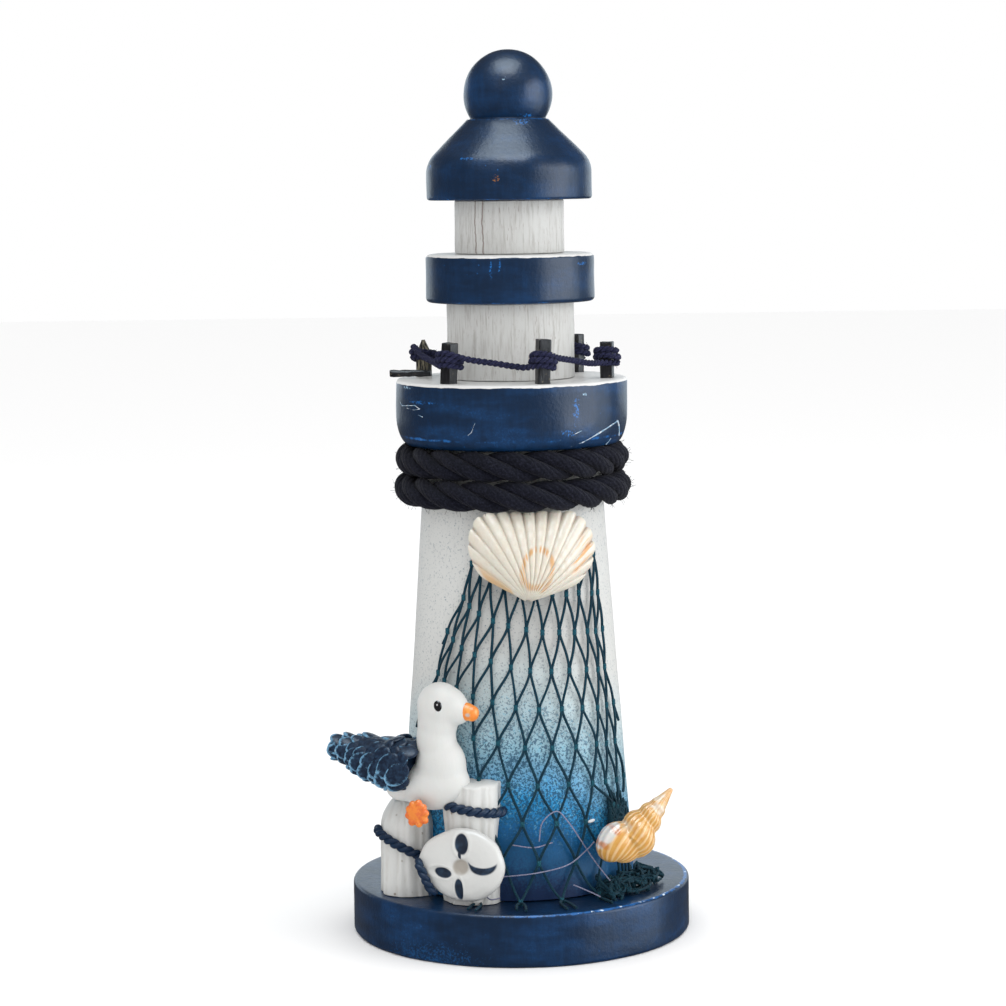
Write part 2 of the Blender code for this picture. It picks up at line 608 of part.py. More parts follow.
def main():
    for old in list(bpy.data.objects):
        bpy.data.objects.remove(old)
    parts = new_collection("lighthouse_souvenir")
    cutters = new_collection("cutters")
    base_disc(parts, cutters)
    tower_body(parts)
    gallery_disc(parts, cutters)
    stacked_pieces(parts)
    rail_posts(parts)
    rail_string(parts)
    lying_peg(parts)
    rope_wrap(parts)
    fishing_net(parts)
    net_heap(parts)
    scallop_shell(parts)
    spiral_shell(parts)
    gull_group(parts, cutters)


main()
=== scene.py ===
"""Looks for the painted lighthouse souvenir: finishes for its turned wood, rope, net, shells and gull group.

Pieces are drawn in millimetres, in the frame's own axes, and brought to metres when they are finished.
The front faces -Y, and azimuths are counted from the front towards +X.
"""

import math
import random

import bmesh
import bpy
from bpy.props import FloatProperty, FloatVectorProperty, IntProperty, PointerProperty
from mathutils import Euler, Matrix, Vector, noise


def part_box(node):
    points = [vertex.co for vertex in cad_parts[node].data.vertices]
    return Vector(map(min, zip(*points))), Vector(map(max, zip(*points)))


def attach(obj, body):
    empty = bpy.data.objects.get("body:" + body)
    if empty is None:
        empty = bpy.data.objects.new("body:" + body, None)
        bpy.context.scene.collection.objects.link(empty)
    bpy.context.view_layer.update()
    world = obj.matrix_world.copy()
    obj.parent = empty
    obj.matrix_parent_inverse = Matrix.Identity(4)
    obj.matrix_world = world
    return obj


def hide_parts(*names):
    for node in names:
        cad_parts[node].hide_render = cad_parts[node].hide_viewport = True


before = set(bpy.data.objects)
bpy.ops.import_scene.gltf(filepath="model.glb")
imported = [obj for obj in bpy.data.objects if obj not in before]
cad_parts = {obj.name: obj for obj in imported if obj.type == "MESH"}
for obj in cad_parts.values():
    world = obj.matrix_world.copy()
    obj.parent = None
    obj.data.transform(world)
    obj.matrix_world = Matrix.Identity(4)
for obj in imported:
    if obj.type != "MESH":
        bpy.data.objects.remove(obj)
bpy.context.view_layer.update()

bl_info = {
    "name": "Lighthouse Souvenir",
    "version": (1, 0, 0),
    "blender": (4, 5, 0),
    "location": "3D View > Sidebar > Lighthouse",
    "description": "Dresses a turned wooden lighthouse with paint, rope, net, shells and a gull",
    "category": "Object",
}

MM = 0.001
BODY = "root"


# Sizes read from the frame, in millimetres

def node_box(node):
    low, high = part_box(node)
    return low / MM, high / MM


def turned_size(node):
    """Radius, floor and top of a turned piece, and its middle's X."""
    low, high = node_box(node)
    return (high.x - low.x) / 2, low.z, high.z, (high.x + low.x) / 2


BASE_RADIUS, BASE_FLOOR, BASE_TOP, BASE_X = turned_size("base_disc")
TOWER_FOOT_RADIUS, TOWER_FLOOR, TOWER_TOP, _ = turned_size("tower_body")
GALLERY_RADIUS, GALLERY_FLOOR, GALLERY_TOP, _ = turned_size("gallery_disc")
TOWER_TOP_RADIUS = 16.95
TOWER_HOLE = 4.3
LANTERN_HOLE = 3.3
GALLERY_CURVE_IN = 2.1
GALLERY_CURVE_TALL = 5.2


def tower_radius(height):
    share = (height - TOWER_FLOOR) / (TOWER_TOP - TOWER_FLOOR)
    return TOWER_FOOT_RADIUS + (TOWER_TOP_RADIUS - TOWER_FOOT_RADIUS) * share


def front_point(azimuth, radius, height):
    angle = math.radians(azimuth)
    return Vector((radius * math.sin(angle), -radius * math.cos(angle), height))


def on_tower(arc, height, lift):
    """A point off the tower's side, at a distance round it from the front."""
    radius = tower_radius(height)
    return front_point(math.degrees(arc / radius), radius + lift, height)


def arc_points(centre, radius, start, end, steps):
    turns = (math.radians(start + (end - start) * i / steps) for i in range(steps + 1))
    return [(centre[0] + radius * math.cos(a), centre[1] + radius * math.sin(a)) for a in turns]


def smooth(low, high, value):
    share = min(max((value - low) / (high - low), 0.0), 1.0)
    return share * share * (3 - 2 * share)


def rotation(angle, axis):
    return Matrix.Rotation(math.radians(angle), 4, axis)


# Settings

class LighthouseSettings(bpy.types.PropertyGroup):
    navy: FloatVectorProperty(name="Navy", description="Gloss paint on the base, discs, roof and ball",
                              subtype="COLOR", default=(0.002, 0.0165, 0.05), min=0, max=1)
    worn_blue: FloatVectorProperty(name="Worn Blue", description="Bright blue where the paint is rubbed",
                                   subtype="COLOR", default=(0.006, 0.1, 0.33), min=0, max=1)
    white: FloatVectorProperty(name="White", description="Matt paint on the drums and the tower's top",
                               subtype="COLOR", default=(0.575, 0.58, 0.565), min=0, max=1)
    sky: FloatVectorProperty(name="Sky", description="Sprayed blue half way down the tower",
                             subtype="COLOR", default=(0.018, 0.26, 0.56), min=0, max=1)
    foot_navy: FloatVectorProperty(name="Foot Navy", description="Sprayed paint at the tower's foot",
                                   subtype="COLOR", default=(0.004, 0.02, 0.075), min=0, max=1)
    rope: FloatVectorProperty(name="Rope", description="Dyed cotton of the rope",
                              subtype="COLOR", default=(0.0035, 0.004, 0.009), min=0, max=1)
    string: FloatVectorProperty(name="String", description="Dyed cotton of the railing's string",
                                subtype="COLOR", default=(0.01, 0.012, 0.036), min=0, max=1)
    net: FloatVectorProperty(name="Net", description="Dyed twine of the net",
                             subtype="COLOR", default=(0.003, 0.024, 0.045), min=0, max=1)
    resin_white: FloatVectorProperty(name="Resin White", description="Paint on the gull and the posts",
                                     subtype="COLOR", default=(0.6, 0.605, 0.59), min=0, max=1)
    orange: FloatVectorProperty(name="Orange", description="Paint on the gull's beak and foot",
                                subtype="COLOR", default=(0.8, 0.22, 0.02), min=0, max=1)
    rope_lay: FloatProperty(name="Rope Lay", description="Length of rope in which a strand goes round once",
                            default=0.0205, min=0.005, unit="LENGTH")
    rope_diameter: FloatProperty(name="Rope Diameter", description="Across the rope's three strands",
                                 default=0.006, min=0.002, unit="LENGTH")
    twine_diameter: FloatProperty(name="Twine Diameter", description="Thickness of the net's twine",
                                  default=0.00054, min=0.0002, unit="LENGTH")
    string_diameter: FloatProperty(name="String Diameter", description="Thickness of the railing's string",
                                   default=0.00125, min=0.0004, unit="LENGTH")
    turned_steps: IntProperty(name="Turned Steps", description="Segments round each turned piece",
                              default=168, min=24)


# Finishes

class Wire:
    """A node's output that works like a number: Python's operators add the Math nodes."""

    def __init__(self, look, socket):
        self.look = look
        self.socket = socket

    def math(self, operation, *values):
        return self.look.node("Math", {"operation": operation}, dict(enumerate(values)))

    def __add__(self, other):
        return self.math("ADD", self, other)

    __radd__ = __add__

    def __sub__(self, other):
        return self.math("SUBTRACT", self, other)

    def __rsub__(self, other):
        return self.math("SUBTRACT", other, self)

    def __mul__(self, other):
        return self.math("MULTIPLY", self, other)

    __rmul__ = __mul__

    def __truediv__(self, other):
        return self.math("DIVIDE", self, other)

    def __rtruediv__(self, other):
        return self.math("DIVIDE", other, self)

    def __pow__(self, other):
        return self.math("POWER", self, other)

    def __gt__(self, other):
        return self.math("GREATER_THAN", self, other)

    def __lt__(self, other):
        return self.math("LESS_THAN", self, other)

    def __abs__(self):
        return self.math("ABSOLUTE", self)

    def sine(self):
        return self.math("SINE", self)

    def larger(self, other):
        return self.math("MAXIMUM", self, other)

    def angle_from(self, across):
        return self.math("ARCTAN2", self, across)


class Look:
    """A material in the making. Its node method adds any node, and the others are short ways to common
    ones."""

    def __init__(self, name, **constants):
        self.material = bpy.data.materials.new(name)
        self.material.use_nodes = True
        self.tree = self.material.node_tree
        self.shader = self.tree.nodes["Principled BSDF"]
        for socket, value in constants.items():
            self.shader.inputs[socket.replace("_", " ")].default_value = value

    def feed(self, socket, value):
        if isinstance(value, Wire):
            self.tree.links.new(value.socket, socket)
        elif isinstance(value, (tuple, list)) and len(value) == 3 and len(socket.default_value) == 4:
            socket.default_value = (*value, 1.0)
        else:
            socket.default_value = value

    def node(self, kind, settings, inputs, output=0):
        """Adds a node: its settings first (stops are a ramp's), then its inputs, by name or place."""
        made = self.tree.nodes.new(f"ShaderNode{kind}")
        for name, value in settings.items():
            if name != "stops":
                setattr(made, name, value)
        for place, (position, colour) in enumerate(settings.get("stops", ())):
            ramp = made.color_ramp.elements
            stop = ramp[place] if place < 2 else ramp.new(position)
            stop.position = position
            stop.color = (*colour, 1.0)
        for name, value in inputs.items():
            self.feed(made.inputs[name], value)
        return Wire(self, made.outputs[output])

    def place(self, where=Matrix.Identity(4), stretch=(1, 1, 1)):
        """Object coordinates in millimetres, seen from a place, with the pattern drawn out along its axes."""
        here = self.node("TexCoord", {}, {}, "Object")
        scale = tuple(share * MM for share in stretch)
        return self.node("Mapping", {"vector_type": "TEXTURE"},
                         {"Vector": here, "Location": where.translation * MM,
                          "Rotation": where.to_euler(), "Scale": scale})

    def split(self, vector):
        apart = self.node("SeparateXYZ", {}, {"Vector": vector})
        outputs = apart.socket.node.outputs
        return [Wire(self, outputs[i]) for i in range(3)]

    def join(self, x, y, z):
        return self.node("CombineXYZ", {}, {0: x, 1: y, 2: z})

    def noise(self, vector, scale, detail=3.0, rough=0.55):
        return self.node("TexNoise", {},
                         {"Vector": vector, "Scale": scale, "Detail": detail, "Roughness": rough})

    def cells(self, vector, scale):
        """Distance to the nearest of scattered points."""
        return self.node("TexVoronoi", {}, {"Vector": vector, "Scale": scale}, "Distance")

    def step(self, value, low, high):
        """0 below low and 1 above high, smooth between."""
        return self.node("MapRange", {"interpolation_type": "SMOOTHSTEP"},
                         {"Value": value, "From Min": low, "From Max": high})

    def attribute(self, name):
        return self.node("Attribute", {"attribute_name": name}, {}, "Fac")

    def ramp(self, value, *stops):
        return self.node("ValToRGB", {"stops": stops}, {0: value})

    def mix(self, share, first, second, blend="MIX"):
        return self.node("Mix", {"data_type": "RGBA", "blend_type": blend},
                         {0: share, 6: first, 7: second}, 2)

    def bump(self, height, depth, strength=1.0):
        """Surface relief: height runs from 0 to 1 over a depth in millimetres."""
        relief = self.node("Bump", {}, {"Height": height, "Distance": depth * MM, "Strength": strength})
        self.feed(self.shader.inputs["Normal"], relief)

    def finish(self, **surface):
        for socket, value in surface.items():
            self.feed(self.shader.inputs[socket.replace("_", " ")], value)
        return self.material


def band(look, value, middle, half, soft):
    """1 within half of the middle, fading over soft."""
    return 1 - look.step(abs(value - middle), half, half + soft)


def spot(look, point, centre, radii, soft=0.25, turn=0.0):
    """A soft-edged oval mark in the plane of a place's first and third axes."""
    x, _, z = look.split(point)
    cos, sin = math.cos(math.radians(turn)), math.sin(math.radians(turn))
    dx, dz = x - centre[0], z - centre[1]
    across = (dx * cos + dz * sin) / radii[0]
    up = (dz * cos - dx * sin) / radii[1]
    return 1 - look.step((across * across + up * up) ** 0.5, 1 - soft, 1 + soft)


def gloss_navy(name, settings, rims, marks=(), white_top=None, haze=0.0, wear_share=1.0):
    """Gloss paint on turned wood: smeared dark and light, rubbed to bright blue along its rims.
    Rims are (radius, height), marks are (azimuth, height, half width, half height, colour)."""
    look = Look(name, Coat_Weight=0.14, Coat_Roughness=0.16, Specular_IOR_Level=0.3)
    point = look.place()
    x, y, z = look.split(point)
    radius = (x * x + y * y) ** 0.5
    smears = look.noise(look.place(stretch=(3, 3, 1)), 0.22, 5, 0.6)
    grain = look.noise(look.place(stretch=(1, 1, 7)), 1.1, 3, 0.6)
    fine = look.noise(point, 2.6, 4, 0.65)
    navy, blue = tuple(settings.navy), tuple(settings.worn_blue)
    lighter = tuple(0.6 * a + 0.22 * b for a, b in zip(navy, blue))
    colour = look.mix(look.step(smears + grain * 0.25, 0.52, 0.86), navy, lighter)
    colour = look.mix(look.step(smears + haze, 0.62, 0.8) * look.step(fine, 0.45, 0.7) * 0.4, colour, blue)
    wear = None
    for rim_radius, height in rims:
        off = ((radius - rim_radius) * (radius - rim_radius) + (z - height) * (z - height)) ** 0.5
        near = 1 - look.step(off, 0.1, 0.9)
        wear = near if wear is None else wear.larger(near)
    wear = wear * wear_share
    worn = look.step(wear * (look.noise(point, 0.5, 3) + fine * 0.4), 0.5, 0.72)
    colour = look.mix(worn, colour, blue)
    colour = look.mix(look.step(wear * look.noise(point, 0.9, 3), 0.58, 0.66), colour, (0.62, 0.74, 0.86))
    flecks = look.step(look.cells(point, 0.42), 0.0, 0.09)
    colour = look.mix((1 - flecks) * look.step(look.noise(point, 0.12, 2), 0.5, 0.62), colour, blue)
    for azimuth, height, half, tall, paint in marks:
        here = look.place(rotation(azimuth, "Z"))
        mark = spot(look, here, (0, height), (half, tall), 0.75)
        ragged = look.step(mark + (look.noise(here, 2.2, 4, 0.75) - 0.5) * 3.4, 0.95, 1.2)
        colour = look.mix(ragged * (look.split(here)[1] < 0) * (mark > 0.02), colour, paint)
    rough = 0.3 + look.noise(point, 0.8, 3) * 0.12
    if white_top is not None:
        ripple = look.noise(look.place(stretch=(1, 1, 4)), 0.35, 3) * 0.55
        on_top = look.step(z + ripple, white_top + 0.06, white_top + 0.16)
        colour = look.mix(on_top, colour, (0.66, 0.66, 0.65))
        rough = rough + on_top * 0.25
    look.bump(look.noise(point, 1.5, 4, 0.6) * 0.7 + grain * 0.3, 0.16, 0.55)
    return look.finish(Base_Color=colour, Roughness=rough)


def white_paint(name, settings, cracks=()):
    """Thin matt white on turned wood: open upright grain, and cracks at given azimuths (azimuth, width)."""
    look = Look(name, Specular_IOR_Level=0.3)
    point = look.place()
    long_grain = look.noise(look.place(stretch=(1, 1, 16)), 2.4, 4, 0.7)
    pores = look.noise(look.place(stretch=(1, 1, 9)), 5.5, 2, 0.5)
    clouds = look.noise(point, 0.25, 3)
    white = tuple(settings.white)
    colour = look.mix(look.step(long_grain, 0.44, 0.72) * 0.75, white, (0.43, 0.41, 0.385))
    open_pores = look.step(pores, 0.62, 0.7) * look.step(clouds, 0.4, 0.6) * 0.7
    colour = look.mix(open_pores, colour, (0.27, 0.22, 0.2))
    colour = look.mix(look.step(clouds, 0.5, 0.75) * 0.3, colour, (0.62, 0.61, 0.6))
    relief = 1 - look.step(long_grain, 0.5, 0.75) * 0.6
    for azimuth, width in cracks:
        side, depth, z = look.split(look.place(rotation(azimuth, "Z")))
        wander = (look.noise(look.place(stretch=(50, 50, 3)), 1.0, 3) - 0.5) * 1.1
        line = (1 - look.step(abs(side - wander), width * 0.3, width)) * (depth < 0)
        colour = look.mix(line * 0.7, colour, (0.2, 0.13, 0.11))
        relief = relief - line * 0.9
    look.bump(relief, 0.22, 0.7)
    return look.finish(Base_Color=colour, Roughness=0.62)


def sprayed_tower(settings):
    """White at the top, then a spatter that thickens through sky blue to navy at the foot. It was sprayed
    from the front, so the blue starts lower at the sides."""
    look = Look("sprayed tower", Coat_Weight=0.04, Coat_Roughness=0.3, Specular_IOR_Level=0.2)
    point = look.place()
    x, y, z = look.split(point)
    side = (x * x) / (x * x + y * y)
    back = look.step(y, -4, 8)
    clouds = look.noise(point, 0.1, 3) - 0.5
    drops = look.noise(point, 2.0, 2, 0.7)
    mist = look.noise(point, 3.6, 2, 0.6)
    level = z + clouds * 7 + side * 11 + back * 4 + 1.8
    height = (level + (drops - 0.5) * 9) / 100
    white, sky, foot = tuple(settings.white), tuple(settings.sky), tuple(settings.foot_navy)
    pale = (0.26, 0.45, 0.545)
    hint = (0.5, 0.585, 0.6)
    deep = tuple(0.22 * a + 0.78 * b for a, b in zip(sky, foot))
    mid = (0.002, 0.1, 0.28)
    colour = look.ramp(height, (0.0, foot), (0.15, foot), (0.205, deep), (0.25, mid), (0.315, sky),
                       (0.41, pale), (0.53, hint), (0.63, white), (1.0, white))
    grain = look.noise(look.place(stretch=(1, 1, 14)), 1.6, 4, 0.65)
    open_grain = look.step(grain, 0.55, 0.8) * look.step(height, 0.5, 0.7) * 0.35
    colour = look.mix(open_grain, colour, (0.5, 0.5, 0.49))
    crackle = look.noise(look.place(stretch=(1, 1, 5)), 2.2, 3, 0.6)
    crackled = look.step(crackle, 0.6, 0.66) * look.step(height, 0.55, 0.7) * 0.3
    colour = look.mix(crackled, colour, (0.42, 0.43, 0.43))
    thick = 1 - look.step(level, 34, 66)
    dark = look.step(drops + mist * 0.35 + thick * 0.13, 0.77, 0.83) * look.step(level, 16, 30)
    colour = look.mix(dark * (0.35 + thick * 0.5), colour, (0.006, 0.06, 0.13))
    shift = look.place(Matrix.Translation((40, 20, 7)))
    light = look.step(look.noise(shift, 1.9, 3, 0.7), 0.56, 0.66)
    light = light * look.step(level, 20, 34) * (1 - look.step(level, 46, 60))
    colour = look.mix(light * 0.6, colour, (0.2, 0.52, 0.68))
    dots = look.cells(point, 1.1)
    flecks = (1 - look.step(dots, 0.08, 0.17)) * (look.noise(point, 0.35, 2) > 0.5)
    colour = look.mix(flecks * look.step(level, 40, 50) * 0.7, colour, (0.02, 0.12, 0.17))
    look.bump(grain * 0.4 + drops * 0.6, 0.1, 0.45)
    return look.finish(Base_Color=colour, Roughness=0.42 + mist * 0.15)


def cotton(name, colour, light, fibre=3.0, rough=0.92):
    """Dyed cotton: fine fibres painted lighter, a painted highlight for the light they catch, and patches of
    deeper dye.
    """
    look = Look(name, Sheen_Weight=0.05, Sheen_Roughness=0.5, Specular_IOR_Level=0.12)
    point = look.place()
    fuzz = look.noise(point, fibre, 4, 0.75)
    dye = look.noise(point, 0.25, 3)
    # Painted highlight: the fuzz is mixed towards the lighter colour.
    mixed = look.mix(look.step(fuzz, 0.42, 0.72), tuple(colour), tuple(light))
    mixed = look.mix(look.step(dye, 0.5, 0.75) * 0.4, mixed, tuple(0.6 * c for c in colour))
    look.bump(fuzz, 0.12, 0.8)
    return look.finish(Base_Color=mixed, Roughness=rough)


def black_stick(name):
    """Black-stained stick, worn to bare wood in specks."""
    look = Look(name, Coat_Weight=0.08, Coat_Roughness=0.3)
    point = look.place()
    grain = look.noise(look.place(stretch=(1, 1, 8)), 2.5, 4, 0.7)
    worn = look.step(look.noise(point, 1.3, 3, 0.6), 0.62, 0.7)
    colour = look.mix(look.step(grain, 0.4, 0.75), (0.004, 0.004, 0.007), (0.02, 0.021, 0.028))
    colour = look.mix(worn * 0.7, colour, (0.16, 0.13, 0.08))
    look.bump(grain, 0.15, 0.7)
    return look.finish(Base_Color=colour, Roughness=0.38)


def bare_wood(name):
    """Birch dowel: pale, with long fine grain."""
    look = Look(name, Specular_IOR_Level=0.3)
    grain = look.noise(look.place(stretch=(1, 1, 12)), 1.2, 4, 0.65)
    colour = look.mix(look.step(grain, 0.35, 0.75), (0.62, 0.45, 0.27), (0.45, 0.29, 0.15))
    look.bump(grain, 0.1, 0.5)
    return look.finish(Base_Color=colour, Roughness=0.68)


# Building

def finished(name, bm, look, node, crease=38.0):
    """Links a bmesh, drawn in millimetres, as a finished piece. It stands for a CAD node, if it has one."""
    mesh = bpy.data.meshes.new(name)
    bm.to_mesh(mesh)
    bm.free()
    mesh.transform(Matrix.Scale(MM, 4))
    mesh.shade_smooth()
    mesh.set_sharp_from_angle(angle=math.radians(crease))
    mesh.materials.clear()
    mesh.materials.append(look)
    piece = bpy.data.objects.new(name, mesh)
    bpy.context.scene.collection.objects.link(piece)
    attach(piece, BODY)
    if node:
        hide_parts(node)


def turned(outline, steps):
    """A bmesh spun from (radius, height) points that run down the outer side. An outline that ends off
    the axis is closed into a ring."""
    bm = bmesh.new()
    verts = [bm.verts.new((r, 0, z)) for r, z in outline]
    edges = [bm.edges.new(pair) for pair in zip(verts, verts[1:])]
    if outline[0][0] > 0:
        edges.append(bm.edges.new((verts[-1], verts[0])))
    bmesh.ops.spin(bm, geom=verts + edges, cent=(0, 0, 0), axis=(0, 0, 1), dvec=(0, 0, 0),
                   angle=math.tau, steps=steps, use_merge=True, use_duplicate=False)
    bmesh.ops.remove_doubles(bm, verts=bm.verts, dist=0.0005)
    bmesh.ops.recalc_face_normals(bm, faces=bm.faces)
    return bm


def wobble(bm, amount, size, seed):
    """Gives a turned piece the slight unevenness of sanded and painted wood."""
    shift = Vector((seed * 7.3, seed * 3.1, seed * 5.7))
    for vert in bm.verts:
        out = Vector((vert.co.x, vert.co.y, 0))
        if out.length > 1:
            vert.co += out.normalized() * noise.noise(vert.co / size + shift) * amount


def divided(outline, longest):
    """Adds points along an outline's longer runs, so that the wobble and dents have somewhere to go."""
    points = [outline[0]]
    for start, end in zip(outline, outline[1:]):
        count = max(1, math.ceil(math.dist(start, end) / longest))
        points += [(start[0] + (end[0] - start[0]) * i / count, start[1] + (end[1] - start[1]) * i / count)
                   for i in range(1, count + 1)]
    return points


def ball_mesh(bm, centre, radii, turn=(0, 0, 0), segments=32, rings=16):
    """Adds an ellipsoid to a bmesh."""
    stand = Euler([math.radians(a) for a in turn]).to_matrix().to_4x4()
    matrix = Matrix.Translation(centre) @ stand @ Matrix.Diagonal((*radii, 1.0))
    bmesh.ops.create_uvsphere(bm, u_segments=segments, v_segments=rings, radius=1.0, matrix=matrix)


def evaluated_mesh(thing):
    """The mesh that an object's modifiers or curve settings make. The object is removed."""
    bpy.context.scene.collection.objects.link(thing)
    graph = bpy.context.evaluated_depsgraph_get()
    graph.update()
    mesh = bpy.data.meshes.new_from_object(thing.evaluated_get(graph), depsgraph=graph)
    bpy.data.objects.remove(thing)
    return mesh


def remeshed(bm, voxel, rounds):
    """Fuses overlapping lumps into one closed skin and rubs its creases smooth."""
    mesh = bpy.data.meshes.new("lumps")
    bm.to_mesh(mesh)
    bm.free()
    lumps = bpy.data.objects.new("lumps", mesh)
    fuse = lumps.modifiers.new("fuse", "REMESH")
    fuse.mode = "VOXEL"
    fuse.voxel_size = voxel
    skin = evaluated_mesh(lumps)
    fused = bmesh.new()
    fused.from_mesh(skin)
    for _ in range(rounds):
        bmesh.ops.smooth_vert(fused, verts=fused.verts, factor=0.5, use_axis_x=True, use_axis_y=True,
                              use_axis_z=True)
    return fused


def threads(runs, diameter, resolution=1, profile=None, twist=0.0):
    """A bmesh of round threads through runs of points. A run's points may carry a fourth number, a share
    of the thickness. With a profile, a closed outline of (x, y), the thread has that section and twists by
    so many radians from point to point."""
    curve = bpy.data.curves.new("threads", "CURVE")
    curve.dimensions = "3D"
    curve.use_fill_caps = True
    guide = None
    if profile:
        outline = bpy.data.curves.new("section", "CURVE")
        outline.dimensions = "2D"
        ring = outline.splines.new("POLY")
        ring.points.add(len(profile) - 1)
        for point, (x, y) in zip(ring.points, profile):
            point.co = (x, y, 0, 1)
        ring.use_cyclic_u = True
        guide = bpy.data.objects.new("section", outline)
        bpy.context.scene.collection.objects.link(guide)
        curve.bevel_mode = "OBJECT"
        curve.bevel_object = guide
    else:
        curve.bevel_depth = diameter / 2
        curve.bevel_resolution = resolution
    for run in runs:
        spline = curve.splines.new("POLY")
        spline.points.add(len(run) - 1)
        for number, (point, place) in enumerate(zip(spline.points, run)):
            point.co = (*place[:3], 1.0)
            point.radius = place[3] if len(place) > 3 else 1.0
            point.tilt = number * twist
    mesh = evaluated_mesh(bpy.data.objects.new("threads", curve))
    if guide:
        bpy.data.objects.remove(guide)
    bm = bmesh.new()
    bm.from_mesh(mesh)
    bmesh.ops.remove_doubles(bm, verts=bm.verts, dist=0.0001)
    holes = [edge for edge in bm.edges if edge.is_boundary]
    if holes:
        bmesh.ops.holes_fill(bm, edges=holes, sides=0)
    bmesh.ops.recalc_face_normals(bm, faces=bm.faces)
    return bm


def merged(bm, other):
    """Adds another bmesh's geometry to a bmesh."""
    mesh = bpy.data.meshes.new("part")
    other.to_mesh(mesh)
    other.free()
    bm.from_mesh(mesh)
    bpy.data.meshes.remove(mesh)
    return bm


def curved(knots, per_span):
    """Points on a smooth line through knots (Catmull-Rom)."""
    knots = [Vector(k) for k in knots]
    ends = [2 * knots[0] - knots[1]] + knots + [2 * knots[-1] - knots[-2]]
    points = []
    for a, b, c, d in zip(ends, ends[1:], ends[2:], ends[3:]):
        for i in range(per_span):
            t = i / per_span
            points.append(0.5 * (2 * b + (c - a) * t + (2 * a - 5 * b + 4 * c - d) * t * t
                                 + (3 * b - a - 3 * c + d) * t ** 3))
    return points + [knots[-1]]


# Turned wood

CHIP = (0.006, 0.12, 0.4)
PALE_CHIP = (0.32, 0.5, 0.66)
KNOT_BROWN = (0.3, 0.12, 0.025)


def disc_outline(radius, floor, top, edge, hole):
    outline = [(hole, top)] + arc_points((radius - edge, top - edge), edge, 90, 0, 6)
    return outline + arc_points((radius - edge, floor + edge), edge, 0, -90, 6) + [(hole, floor)]


def add_base(settings):
    radius, floor, top = BASE_RADIUS, BASE_FLOOR, BASE_TOP
    outline = [(0, top)] + disc_outline(radius, floor, top, 0.75, 0)[1:-1] + [(0, floor)]
    bm = turned(divided(outline, 2.5), settings.turned_steps)
    wobble(bm, 0.12, 9, 1)
    bmesh.ops.translate(bm, vec=(BASE_X, 0, 0), verts=bm.verts)
    look = gloss_navy("gloss navy, base", settings, ((radius, top - 0.1),), haze=0.05,
                      marks=((-30, 1.0, 13, 4.0, (0.003, 0.055, 0.17)),))
    finished("base_wood", bm, look, "base_disc")


def add_tower(settings):
    outline = [(TOWER_HOLE, TOWER_TOP), (TOWER_TOP_RADIUS, TOWER_TOP), (TOWER_FOOT_RADIUS, TOWER_FLOOR),
               (TOWER_HOLE, TOWER_FLOOR)]
    bm = turned(divided(outline, 1.6), settings.turned_steps)
    wobble(bm, 0.14, 14, 2)
    finished("tower_wood", bm, sprayed_tower(settings), "tower_body")


def add_gallery(settings):
    """The gallery: its lower edge curves in, and its white top laps unevenly over the rim."""
    radius, floor, top = GALLERY_RADIUS, GALLERY_FLOOR, GALLERY_TOP
    curve = [(radius - GALLERY_CURVE_IN * (1 - math.cos(a)), floor + GALLERY_CURVE_TALL * (1 - math.sin(a)))
             for a in (math.radians(90 * i / 10) for i in range(11))]
    outline = [(LANTERN_HOLE, top)] + arc_points((radius - 0.6, top - 0.6), 0.6, 90, 0, 5)
    outline += curve + [(LANTERN_HOLE, floor)]
    bm = turned(divided(outline, 1.2), settings.turned_steps)
    wobble(bm, 0.22, 6, 3)
    marks = ((33, top - 5.3, 1.0, 3.2, CHIP), (29, top - 9.3, 1.9, 0.9, CHIP),
             (38, top - 2.1, 0.7, 0.4, PALE_CHIP), (-62, top - 1.0, 2.6, 0.35, PALE_CHIP),
             (-50, top - 3.6, 6, 0.4, CHIP))
    look = gloss_navy("gloss navy, gallery", settings, ((radius, top), (radius - 0.8, floor + 2)), marks,
                      white_top=top - 0.35, haze=0.09)
    finished("gallery_wood", bm, look, "gallery_disc")
    add_scratches()


def gallery_point(azimuth, below):
    """A point on the gallery's skin, so far below its top, where the lower edge curves in."""
    rise = min((GALLERY_TOP - below - GALLERY_FLOOR) / GALLERY_CURVE_TALL, 1.0)
    inward = GALLERY_CURVE_IN * (1 - math.sqrt(max(1 - (1 - rise) ** 2, 0.0)))
    return front_point(azimuth, GALLERY_RADIUS - inward + 0.04, GALLERY_TOP - below)


